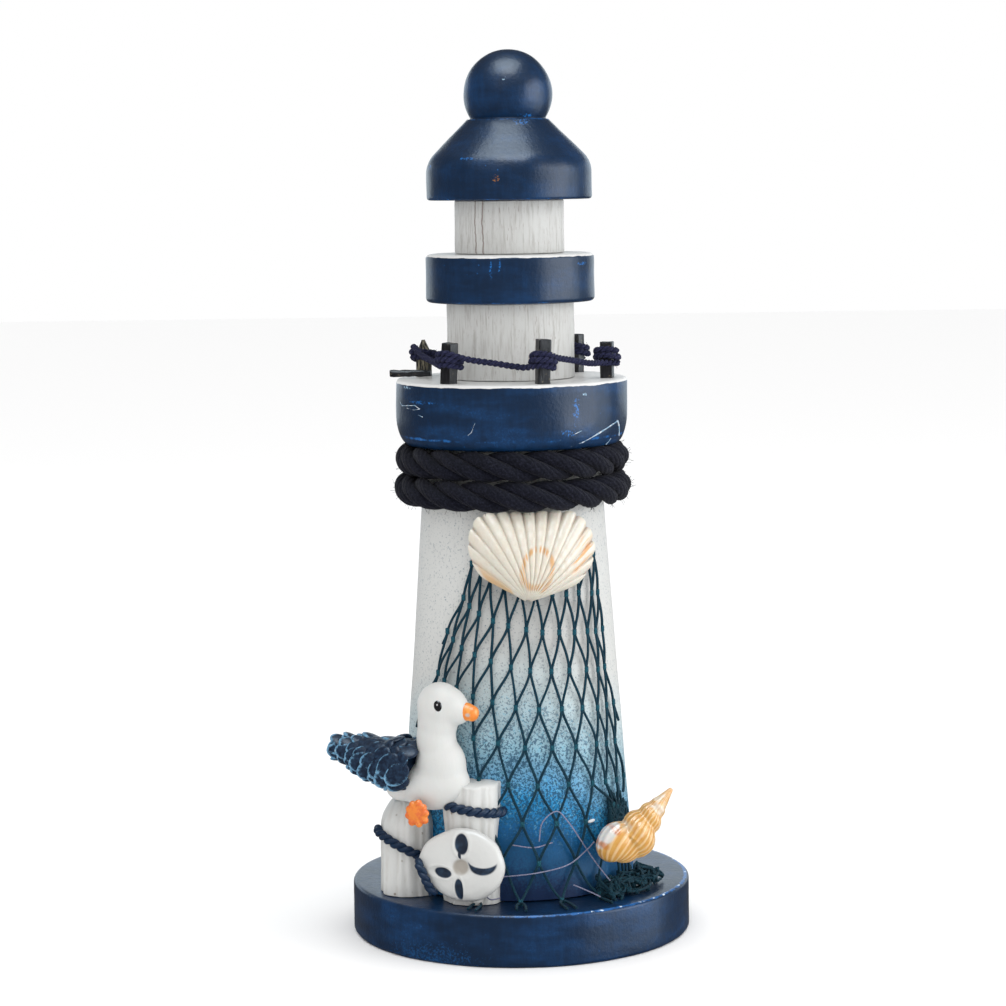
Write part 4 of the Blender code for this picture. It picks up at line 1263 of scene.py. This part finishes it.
def resin_paint(name, colour, dirt=(0.45, 0.43, 0.4), amount=0.35, rough=0.5):
    """Matt paint brushed on cast resin, with a little dirt clouded over it in patches."""
    look = Look(name, Coat_Weight=0.06, Coat_Roughness=0.35, Specular_IOR_Level=0.25, Subsurface_Weight=0.05,
                Subsurface_Scale=0.001)
    point = look.place()
    clouds = look.noise(point, 0.45, 4)
    brushed = look.noise(look.place(stretch=(1, 1, 3)), 1.6, 4, 0.6)
    mixed = look.mix(look.step(clouds, 0.55, 0.8) * amount, tuple(colour), dirt)
    look.bump(brushed * 0.6 + clouds * 0.4, 0.14, 0.5)
    return look.finish(Base_Color=mixed, Roughness=rough + brushed * 0.1)


def add_gull(settings):
    """The gull: a smooth modelled body, feathered wing and tail, blunt beak, eye and foot."""
    place = gull_place()
    bm = bmesh.new()
    for centre, radii, tilt in (
        ((-0.4, 0, -0.3), (7.2, 4.7, 5.0), -8), ((0.9, 0, 3.6), (5.0, 4.4, 5.6), -6),
        ((0.0, 0, 8.2), (3.9, 3.7, 6.2), -3), ((0.35, 0, 12.0), (4.0, 3.7, 4.6), 0),
        ((0.9, 0, 14.9), (4.6, 4.1, 4.7), 10), ((2.6, 0, 15.2), (4.0, 3.5, 3.6), 32),
        ((4.1, 0, 14.4), (3.2, 2.7, 2.8), 30),
        ((-6.4, 0, -0.7), (4.4, 3.6, 3.3), -20),
    ):
        ball_mesh(bm, centre, radii, (0, tilt, 0), 40, 24)
    bm = remeshed(bm, 0.22, 34)
    bmesh.ops.transform(bm, matrix=place, verts=bm.verts)
    white = resin_paint("gull white", settings.resin_white, amount=0.16)
    finished("gull_body", bm, white, "gull", 80)
    add_wing(place)

    bm = bmesh.new()
    ball_mesh(bm, (6.3, 0, 14.2), (2.2, 1.7, 1.75), (0, 10, 0), 32, 20)
    ball_mesh(bm, (7.6, 0, 13.9), (1.3, 1.45, 1.55), (0, 10, 0), 32, 20)
    bm = remeshed(bm, 0.14, 5)
    bmesh.ops.transform(bm, matrix=place, verts=bm.verts)
    look = Look("beak orange", Coat_Weight=0.3, Coat_Roughness=0.25)
    point = look.place(place)
    brushed = look.noise(point, 0.9, 4)
    colour = look.mix(look.step(brushed, 0.4, 0.7), tuple(settings.orange), (0.84, 0.33, 0.05))
    colour = look.mix(spot(look, point, (7.3, 13.8), (0.42, 0.35), 0.5), colour, (0.5, 0.42, 0.38))
    look.bump(brushed, 0.15, 0.6)
    finished("gull_beak", bm, look.finish(Base_Color=colour, Roughness=0.42), None, 80)

    bm = bmesh.new()
    for side in (-3.55, 3.55):
        ball_mesh(bm, (2.0, side, 15.5), (0.95, 0.5, 1.15), (0, 0, 0), 24, 14)
    bmesh.ops.transform(bm, matrix=place, verts=bm.verts)
    look = Look("eye black", Coat_Weight=0.8, Coat_Roughness=0.06)
    point = look.place(place)
    # Painted highlight: a grey glint on each eye, up and forward of its middle.
    painted_glint = spot(look, point, (2.15, 15.9), (0.16, 0.16), 0.4)
    colour = look.mix(painted_glint, (0.006, 0.006, 0.008), (0.5, 0.5, 0.5))
    finished("gull_eyes", bm, look.finish(Base_Color=colour, Roughness=0.2), None, 80)

    foot = (-1.6, -5.7, -4.8)
    bm = bmesh.new()
    toes = random.Random(4)
    for i in range(9):
        turn = math.tau * i / 9
        reach = 1.75 + toes.uniform(-0.3, 0.3)
        centre = (foot[0] + reach * math.cos(turn), foot[1], foot[2] + reach * math.sin(turn))
        ball_mesh(bm, centre, (0.95, 0.75, 0.8), (0, -math.degrees(turn), 0), 16, 10)
    ball_mesh(bm, foot, (1.8, 0.9, 1.8), (0, 0, 0), 16, 10)
    bm = remeshed(bm, 0.13, 3)
    bmesh.ops.transform(bm, matrix=place, verts=bm.verts)
    look = Look("foot orange", Coat_Weight=0.2, Coat_Roughness=0.35)
    point = look.place()
    patches = look.noise(point, 0.8, 4)
    colour = look.mix(look.step(patches, 0.42, 0.58), tuple(settings.orange), (0.72, 0.14, 0.02))
    colour = look.mix(look.step(look.noise(point, 1.4, 3), 0.6, 0.7), colour, (0.85, 0.36, 0.06))
    look.bump(patches, 0.2, 0.6)
    finished("gull_foot", bm, look.finish(Base_Color=colour, Roughness=0.45), None, 80)


def feather_mesh():
    """One feather scale: a flattened drop with its edge marked for the dry-brushed paint."""
    bm = bmesh.new()
    rim = bm.verts.layers.float.new("rim")
    bmesh.ops.create_uvsphere(bm, u_segments=20, v_segments=12, radius=1.0)
    for vert in bm.verts:
        flat = math.hypot(vert.co.x, vert.co.y)
        tip = 0.5 + 0.5 * vert.co.x / max(flat, 0.01)
        vert[rim] = smooth(0.45, 1.0, flat) * (0.25 + 0.75 * tip)
    mesh = bpy.data.meshes.new("feather")
    bm.to_mesh(mesh)
    bm.free()
    return mesh


WING_ROOT = Vector((-5.6, 0, 2.9))
WING_TIP = Vector((-20.2, 0, 5.3))


def add_wing(place):
    """Wing and tail: a rounded blade carved all over with lapped feathers."""
    bm = bmesh.new()
    bm.verts.layers.float.new("rim")
    for centre, radii, tilt in (((-8.6, 0, 3.1), (4.6, 6.2, 4.6), 0), ((-13.6, 0, 4.5), (4.6, 4.6, 3.6), 14),
                                ((-18.2, 0, 5.2), (3.4, 2.6, 2.4), 6)):
        ball_mesh(bm, centre, radii, (0, tilt, 0), 32, 20)
    template = feather_mesh()
    chance = random.Random(14)
    axis = (WING_TIP - WING_ROOT).normalized()
    rise = Vector((axis.z, 0, -axis.x))
    rows = 8
    for row in range(rows):
        t = row / (rows - 1)
        tall = 4.7 - 2.7 * t ** 1.6
        deep = 6.3 - 4.0 * t ** 1.6
        count = 6 if row < 6 else 5
        for side in (-1, 1):
            for k in range(count):
                around = math.pi * (k + 0.5 * (row % 2) + 0.25) / count
                out = Vector((0, side, 0))
                centre = WING_ROOT.lerp(WING_TIP, t)
                normal = (rise * math.cos(around) / tall + out * math.sin(around) / deep).normalized()
                spot_on = centre + rise * tall * math.cos(around) + out * deep * math.sin(around)
                size = (2.35 - 0.5 * t) * chance.uniform(0.8, 1.2)
                back = axis * (0.65 + 0.35 * t) + Vector((0, 0, -0.75 * (1 - t) * math.sin(around)))
                back = (back + normal * 0.04 + Vector((0, 0, chance.uniform(-0.4, 0.4)))).normalized()
                across = normal.cross(back).normalized()
                stand = Matrix((back, across, back.cross(across))).transposed().to_4x4()
                shape = Matrix.Diagonal((size * 1.15, size * 0.8, 0.62, 1.0))
                scale = template.copy()
                scale.transform(Matrix.Translation(spot_on - normal * 0.3) @ stand @ shape)
                bm.from_mesh(scale)
                bpy.data.meshes.remove(scale)
    bmesh.ops.transform(bm, matrix=place, verts=bm.verts)
    look = Look("feather navy", Coat_Weight=0.1, Coat_Roughness=0.3, Specular_IOR_Level=0.3)
    point = look.place()
    rim = look.attribute("rim")
    brushed = look.noise(point, 1.5, 4, 0.65)
    streaks = look.noise(point, 0.5, 3)
    navy = look.mix(look.step(brushed, 0.35, 0.7), (0.004, 0.012, 0.034), (0.014, 0.04, 0.085))
    dry = look.step(rim + (brushed - 0.5) * 1.6 + (streaks - 0.5) * 0.5, 0.42, 0.85)
    colour = look.mix(dry * 0.85, navy, (0.15, 0.35, 0.54))
    colour = look.mix(look.step(rim * brushed, 0.5, 0.6) * 0.8, colour, (0.55, 0.68, 0.78))
    look.bump(brushed, 0.15, 0.6)
    finished("gull_wing", bm, look.finish(Base_Color=colour, Roughness=0.4), None, 70)


# Places in the gull group: azimuth, distance off the tower's side and height above the base
LEFT_PILING = (-58.2, 1.5, 0.0)
RIGHT_PILING = (-23.0, -1.7, 0.0)
RING_PLACE = (-20.9, 5.2, 8.2)
RING_AZIMUTH = -20.0
# Painted paddles on the belt: middle across and up, half width, half height and turn
RING_MARKS = ((-0.1, 4.3, 1.3, 2.0, 6), (-0.7, -4.5, 0.85, 2.1, 3), (-3.9, -1.4, 1.75, 1.0, -8))


def weathered_white(name, settings):
    """White paint on fluted posts, greyer in patches down the flutes, with dark specks."""
    look = Look(name, Coat_Weight=0.1, Coat_Roughness=0.4)
    point = look.place()
    clouds = look.noise(point, 0.5, 4)
    streaks = look.noise(look.place(stretch=(1, 1, 7)), 1.4, 4, 0.65)
    dip = look.attribute("dip")
    # Greyer in patches down the flutes.
    flute_grey = look.step(dip, 0.5, 1.0) * look.step(clouds, 0.35, 0.6) * 0.35
    colour = look.mix(flute_grey, tuple(settings.resin_white), (0.45, 0.43, 0.39))
    colour = look.mix(look.step(streaks, 0.56, 0.75) * 0.3, colour, (0.55, 0.52, 0.48))
    specks = 1 - look.step(look.cells(point, 0.42), 0.06, 0.16)
    colour = look.mix(specks * look.step(clouds, 0.5, 0.6) * 0.8, colour, (0.2, 0.15, 0.11))
    look.bump(streaks * 0.6 + clouds * 0.4, 0.18, 0.6)
    return look.finish(Base_Color=colour, Roughness=0.55)


def fluted_post(centre, radius, height, seed, lean=0.0, waist=0.0, dome=0.0):
    """A mooring post, carved with upright flutes. Its head slopes by lean, its side draws in by waist,
    and its top rounds over by dome."""
    bm = bmesh.new()
    bmesh.ops.create_cone(bm, cap_ends=False, segments=150, radius1=radius, radius2=radius * 0.96,
                          depth=height)
    bmesh.ops.subdivide_edges(bm, edges=[e for e in bm.edges if e.calc_length() > height / 2], cuts=44)
    rim = [e for e in bm.edges if e.is_boundary and e.verts[0].co.z > 0]
    for share in (0.94, 0.8, 0.6, 0.4, 0.2, 0.05):
        extruded = bmesh.ops.extrude_edge_only(bm, edges=rim)["geom"]
        rim = [g for g in extruded if isinstance(g, bmesh.types.BMEdge)
               and all(v.co.z > height / 2 - 0.01 for v in g.verts)]
        verts = {v for e in rim for v in e.verts}
        for vert in verts:
            flat = Vector((vert.co.x, vert.co.y, 0)).normalized() * radius * 0.96 * share
            vert.co = (flat.x, flat.y, height / 2)
    bmesh.ops.holes_fill(bm, edges=[e for e in bm.edges if e.is_boundary], sides=0)
    dip = bm.verts.layers.float.new("dip")
    for vert in bm.verts:
        angle = math.atan2(vert.co.y, vert.co.x)
        flat = Vector((vert.co.x, vert.co.y, 0))
        up = vert.co.z / height + 0.5
        wander = noise.noise(Vector((math.cos(angle) * 2, math.sin(angle) * 2, up * 0.6 + seed)))
        flute = 0.5 + 0.5 * math.cos(angle * 17 + wander * 5)
        on_side = smooth(0.9, 0.97, flat.length / radius)
        vert[dip] = (1 - flute) * on_side
        head = 1 - smooth(0.75, 1.0, up)
        squeeze = 1 - waist * math.sin(math.pi * min(max((up - 0.1) / 0.75, 0), 1)) ** 2
        squeeze *= 1 - dome * max((up - 0.68) / 0.32, 0.0) ** 2
        if flat.length > 0.01:
            out = flat.normalized()
            vert.co += out * (0.17 * (flute - 0.5) + 0.5 * wander) * on_side
            vert.co += out * (squeeze - 1) * flat.length
        if up > 0.985:
            ripple = 0.12 * math.sin(flat.length * 4.2 + wander * 2) * (1 - on_side)
            vert.co.z += ripple + lean * vert.co.x / radius + 0.5 * (1 - (flat.length / radius) ** 2)
            vert.co.z -= 0.35 * on_side * (1 + wander)
        vert.co += noise.noise_vector(vert.co / 2.2 + Vector((seed, 0, 0))) * 0.14 * (1 - 0.5 * head)
    bmesh.ops.recalc_face_normals(bm, faces=bm.faces)
    bmesh.ops.translate(bm, vec=centre + Vector((0, 0, height / 2 + 0.15)), verts=bm.verts)
    return bm


def add_pilings(settings):
    """The two mooring posts, and the ropes round them and down to the belt."""
    left, right = group_point(LEFT_PILING), group_point(RIGHT_PILING)
    look = weathered_white("weathered white", settings)
    bm = fluted_post(left, 5.6, 18.6, 1.0, 0.6, dome=0.55)
    finished("mooring_post_left", bm, look, "left_piling", 80)
    bm = fluted_post(right, 6.0, 22.8, 4.0, 0.3, waist=0.1)
    finished("mooring_post_right", bm, look, "right_piling", 80)

    bands = []
    for centre, radius, middle, tilt, start, end in (
        (left, 5.95, 9.2, -24, -100, 58),
        (right, 6.1, 18.2, -8, -62, 80),
    ):
        bands.append([centre + Vector((radius * math.sin(a), -radius * math.cos(a),
                                       middle + tilt * 0.12 * math.sin(a) + 0.15))
                      for a in (math.radians(start + (end - start) * i / 48) for i in range(49))])
    belt = ring_place()
    hang = [bands[0][-1]]
    for knot in ((-8.9, -1.4, 0.2), (-7.9, -2.3, -1.6), (-6.9, -2.4, -3.6), (-6.0, -1.6, -5.8)):
        hang.append(belt @ Vector(knot))
    runs = plied(along(bands[0], 0.3), 2, 0.42, 3.4) + plied(along(bands[1], 0.3), 2, 0.46, 3.4)
    runs += plied(along(curved(hang, 8), 0.3), 2, 0.36, 3.4)
    look = resin_paint("navy resin paint", (0.008, 0.024, 0.06), (0.03, 0.07, 0.13), 0.8, 0.42)
    finished("mooring_ropes", threads(runs, 1.15, 2), look, None, 80)


def ring_place():
    return Matrix.Translation(group_point(RING_PLACE)) @ rotation(RING_AZIMUTH, "Z")


def add_ring(settings):
    """The life belt: a fat disc with a dished middle. Its painted paddles lie in shallow trays, and the
    one at the right is a crescent."""
    place = ring_place()
    radius = 7.7
    bm = bmesh.new()
    outline = [(0, 1.35), (1.2, 1.4), (1.9, 1.85), (2.6, 2.0), (4.2, 2.0), (5.8, 1.75)]
    outline += arc_points((6.3, 0.1), radius - 6.3, 70, -90, 9) + [(0, -1.5)]
    bm = turned(divided(outline, 0.35), 180)
    bmesh.ops.transform(bm, matrix=rotation(90, "X"), verts=bm.verts)
    bmesh.ops.scale(bm, vec=(1.03, 1, 0.92), verts=bm.verts)
    for vert in bm.verts:
        if vert.co.y < -0.5:
            for x, z, wide, tall, turn in RING_MARKS:
                cos, sin = math.cos(math.radians(turn)), math.sin(math.radians(turn))
                dx, dz = vert.co.x - x, vert.co.z - z
                away = math.hypot((dx * cos + dz * sin) / wide, (dz * cos - dx * sin) / tall)
                brim = 0.14 * math.exp(-((away - 1.3) / 0.16) ** 2)
                vert.co.y += 0.28 * (1 - smooth(0.8, 1.15, away)) - brim
        vert.co += noise.noise_vector(vert.co / 3.0) * 0.16
        vert.co.x -= 0.34 * max(-vert.co.x - 3.5, 0.0)
    bmesh.ops.transform(bm, matrix=place, verts=bm.verts)
    look = Look("life belt paint", Coat_Weight=0.2, Coat_Roughness=0.3)
    point = look.place(place)
    clouds = look.noise(point, 0.5, 4)
    colour = look.mix(look.step(clouds, 0.55, 0.8) * 0.2, tuple(settings.resin_white), (0.55, 0.52, 0.48))
    paint = look.mix(look.step(clouds, 0.4, 0.7), (0.006, 0.016, 0.04), (0.02, 0.055, 0.11))
    for x, z, wide, tall, turn in RING_MARKS:
        colour = look.mix(spot(look, point, (x, z), (wide, tall), 0.1, turn), colour, paint)
    tail = spot(look, point, (-0.45, 2.2), (0.28, 0.8), 0.2, 12)
    bite = spot(look, point, (4.0, 1.75), (3.3, 1.75), 0.08)
    crescent = spot(look, point, (4.0, 0.9), (2.9, 2.3), 0.08) * (1 - bite)
    colour = look.mix(tail.larger(crescent), colour, paint)
    colour = look.mix(spot(look, point, (-0.35, -0.15), (1.5, 1.5), 0.2), colour, (0.36, 0.33, 0.29))
    look.bump(clouds, 0.2, 0.5)
    paint = look.finish(Base_Color=colour, Roughness=0.45)
    finished("life_belt", bm, paint, "life_ring", 80)


# Stage

ROOM_LIGHT = 1.0
ROOM_SHEEN = 0.12
SHEET_TINT = (0.78, 0.91, 1.0)
CAMERA_PLACE = (-0.0011, -0.563, 0.1485)
CAMERA_DOWN = 6.49
CAMERA_ROLL = 0.75
LENS_LENGTH = 103.3


def add_stage():
    """A pale floor, a white room that is dimmer in reflections, three lamps, three pale blue sheets that
    show only as sheen, and the camera."""
    scene = bpy.context.scene
    bm = bmesh.new()
    bmesh.ops.create_grid(bm, x_segments=1, y_segments=1, size=2500)
    mesh = bpy.data.meshes.new("floor")
    bm.to_mesh(mesh)
    bm.free()
    mesh.transform(Matrix.Scale(MM, 4))
    floor = bpy.data.objects.new("floor", mesh)
    scene.collection.objects.link(floor)
    paper = Look("paper floor", Specular_IOR_Level=0.1)
    mesh.materials.append(paper.finish(Base_Color=(0.99, 0.99, 0.99), Roughness=0.9))
    floor.visible_glossy = False

    world = bpy.data.worlds.new("soft room")
    scene.world = world
    world.use_nodes = True
    tree = world.node_tree
    backdrop = tree.nodes["Background"]
    backdrop.inputs["Color"].default_value = (1.0, 1.0, 1.0, 1.0)
    mirrored = tree.nodes.new("ShaderNodeLightPath").outputs["Is Glossy Ray"]
    strength = tree.nodes.new("ShaderNodeMapRange")
    strength.inputs["To Min"].default_value = ROOM_LIGHT
    strength.inputs["To Max"].default_value = ROOM_SHEEN
    tree.links.new(mirrored, strength.inputs["Value"])
    tree.links.new(strength.outputs["Result"], backdrop.inputs["Strength"])

    for name, place, aim, wide, tall, power, sheen in (
        ("key lamp", (-0.3, -0.75, 0.6), (0, 0, 0.09), 0.5, 0.5, 0.35, False),
        ("side lamp", (0.75, -0.25, 0.25), (0, 0, 0.09), 0.6, 0.6, 3.0, False),
        ("top lamp", (0.02, -0.35, 0.8), (0, 0, 0.12), 0.35, 0.35, 1.1, False),
        ("overhead sheet", (-0.03, -0.13, 0.7), (-0.01, 0, 0.15), 0.48, 0.42, 5.0, True),
        ("right sheet", (0.62, -0.16, 0.1), (0, 0, 0.1), 0.8, 0.6, 3.3, True),
        ("back sheet", (0.0, 0.9, 0.2), (0, 0, 0.03), 1.8, 0.4, 3.2, True),
    ):
        lamp = bpy.data.lights.new(name, "AREA")
        lamp.shape = "RECTANGLE"
        lamp.size = wide
        lamp.size_y = tall
        lamp.energy = power
        if sheen:
            lamp.color = SHEET_TINT
        holder = bpy.data.objects.new(name, lamp)
        holder.location = place
        holder.rotation_euler = (Vector(place) - Vector(aim)).to_track_quat("Z", "Y").to_euler()
        holder.visible_camera = False
        holder.visible_diffuse = not sheen
        scene.collection.objects.link(holder)

    lens = bpy.data.cameras.new("camera")
    lens.lens = LENS_LENGTH
    lens.clip_end = 20
    camera = bpy.data.objects.new("camera", lens)
    camera.location = CAMERA_PLACE
    camera.rotation_euler = (math.radians(90 - CAMERA_DOWN), math.radians(CAMERA_ROLL), 0)
    scene.collection.objects.link(camera)
    scene.camera = camera
    scene.view_settings.view_transform = "Standard"


# Operators

class LighthouseStep:
    """What every step shares: it can be undone, and it works with the settings."""
    bl_options = {"REGISTER", "UNDO"}

    def execute(self, context):
        self.build(context.scene.lighthouse)
        return {"FINISHED"}


class LIGHTHOUSE_OT_stage(LighthouseStep, bpy.types.Operator):
    """Add the floor, the room, the lamps, the sheets and the camera"""
    bl_idname = "lighthouse.stage"
    bl_label = "Stage"

    def build(self, settings):
        add_stage()


class LIGHTHOUSE_OT_base(LighthouseStep, bpy.types.Operator):
    """Add the painted round base"""
    bl_idname = "lighthouse.base"
    bl_label = "Base"

    def build(self, settings):
        add_base(settings)


class LIGHTHOUSE_OT_tower(LighthouseStep, bpy.types.Operator):
    """Add the sprayed tower"""
    bl_idname = "lighthouse.tower"
    bl_label = "Tower"

    def build(self, settings):
        add_tower(settings)


class LIGHTHOUSE_OT_gallery(LighthouseStep, bpy.types.Operator):
    """Add the gallery disc"""
    bl_idname = "lighthouse.gallery"
    bl_label = "Gallery"

    def build(self, settings):
        add_gallery(settings)


class LIGHTHOUSE_OT_lantern(LighthouseStep, bpy.types.Operator):
    """Add the white drums and the disc between them"""
    bl_idname = "lighthouse.lantern"
    bl_label = "Lantern Drums"

    def build(self, settings):
        add_lantern(settings)


class LIGHTHOUSE_OT_roof(LighthouseStep, bpy.types.Operator):
    """Add the roof and its ball"""
    bl_idname = "lighthouse.roof"
    bl_label = "Roof and Ball"

    def build(self, settings):
        add_roof(settings)


class LIGHTHOUSE_OT_dowels(LighthouseStep, bpy.types.Operator):
    """Finish the hidden dowels in bare wood"""
    bl_idname = "lighthouse.dowels"
    bl_label = "Dowels"

    def build(self, settings):
        finish_dowels()


class LIGHTHOUSE_OT_railing(LighthouseStep, bpy.types.Operator):
    """Add the railing's sticks, the loose stick and the string"""
    bl_idname = "lighthouse.railing"
    bl_label = "Railing"

    def build(self, settings):
        add_posts()
        add_peg()
        add_string(settings)


class LIGHTHOUSE_OT_rope(LighthouseStep, bpy.types.Operator):
    """Add the three-strand rope under the gallery"""
    bl_idname = "lighthouse.rope"
    bl_label = "Rope"

    def build(self, settings):
        add_rope(settings)


class LIGHTHOUSE_OT_net(LighthouseStep, bpy.types.Operator):
    """Add the knotted net and its crumpled end"""
    bl_idname = "lighthouse.net"
    bl_label = "Net"

    def build(self, settings):
        add_net(settings)
        add_heap(settings)


class LIGHTHOUSE_OT_shells(LighthouseStep, bpy.types.Operator):
    """Add the scallop and the sea snail"""
    bl_idname = "lighthouse.shells"
    bl_label = "Shells"

    def build(self, settings):
        add_scallop()
        add_snail()


class LIGHTHOUSE_OT_gull(LighthouseStep, bpy.types.Operator):
    """Add the gull"""
    bl_idname = "lighthouse.gull"
    bl_label = "Gull"

    def build(self, settings):
        add_gull(settings)


class LIGHTHOUSE_OT_mooring(LighthouseStep, bpy.types.Operator):
    """Add the mooring posts and the life belt"""
    bl_idname = "lighthouse.mooring"
    bl_label = "Mooring Posts and Belt"

    def build(self, settings):
        add_pilings(settings)
        add_ring(settings)


STEPS = (LIGHTHOUSE_OT_stage, LIGHTHOUSE_OT_base, LIGHTHOUSE_OT_tower, LIGHTHOUSE_OT_gallery,
         LIGHTHOUSE_OT_lantern, LIGHTHOUSE_OT_roof, LIGHTHOUSE_OT_dowels, LIGHTHOUSE_OT_railing,
         LIGHTHOUSE_OT_rope, LIGHTHOUSE_OT_net, LIGHTHOUSE_OT_shells, LIGHTHOUSE_OT_gull,
         LIGHTHOUSE_OT_mooring)


class LIGHTHOUSE_PT_panel(bpy.types.Panel):
    """The steps and settings of the souvenir"""
    bl_label = "Lighthouse Souvenir"
    bl_space_type = "VIEW_3D"
    bl_region_type = "UI"
    bl_category = "Lighthouse"

    def draw(self, context):
        for step in STEPS:
            self.layout.operator(step.bl_idname)
        for name in LighthouseSettings.__annotations__:
            self.layout.prop(context.scene.lighthouse, name)


CLASSES = (LighthouseSettings, *STEPS, LIGHTHOUSE_PT_panel)


def register():
    for kind in CLASSES:
        bpy.utils.register_class(kind)
    bpy.types.Scene.lighthouse = PointerProperty(type=LighthouseSettings)


def unregister():
    del bpy.types.Scene.lighthouse
    for kind in reversed(CLASSES):
        bpy.utils.unregister_class(kind)


def main():
    register()
    for step in STEPS:
        group, name = step.bl_idname.split(".")
        getattr(getattr(bpy.ops, group), name)()


if __name__ == "__main__":
    main()
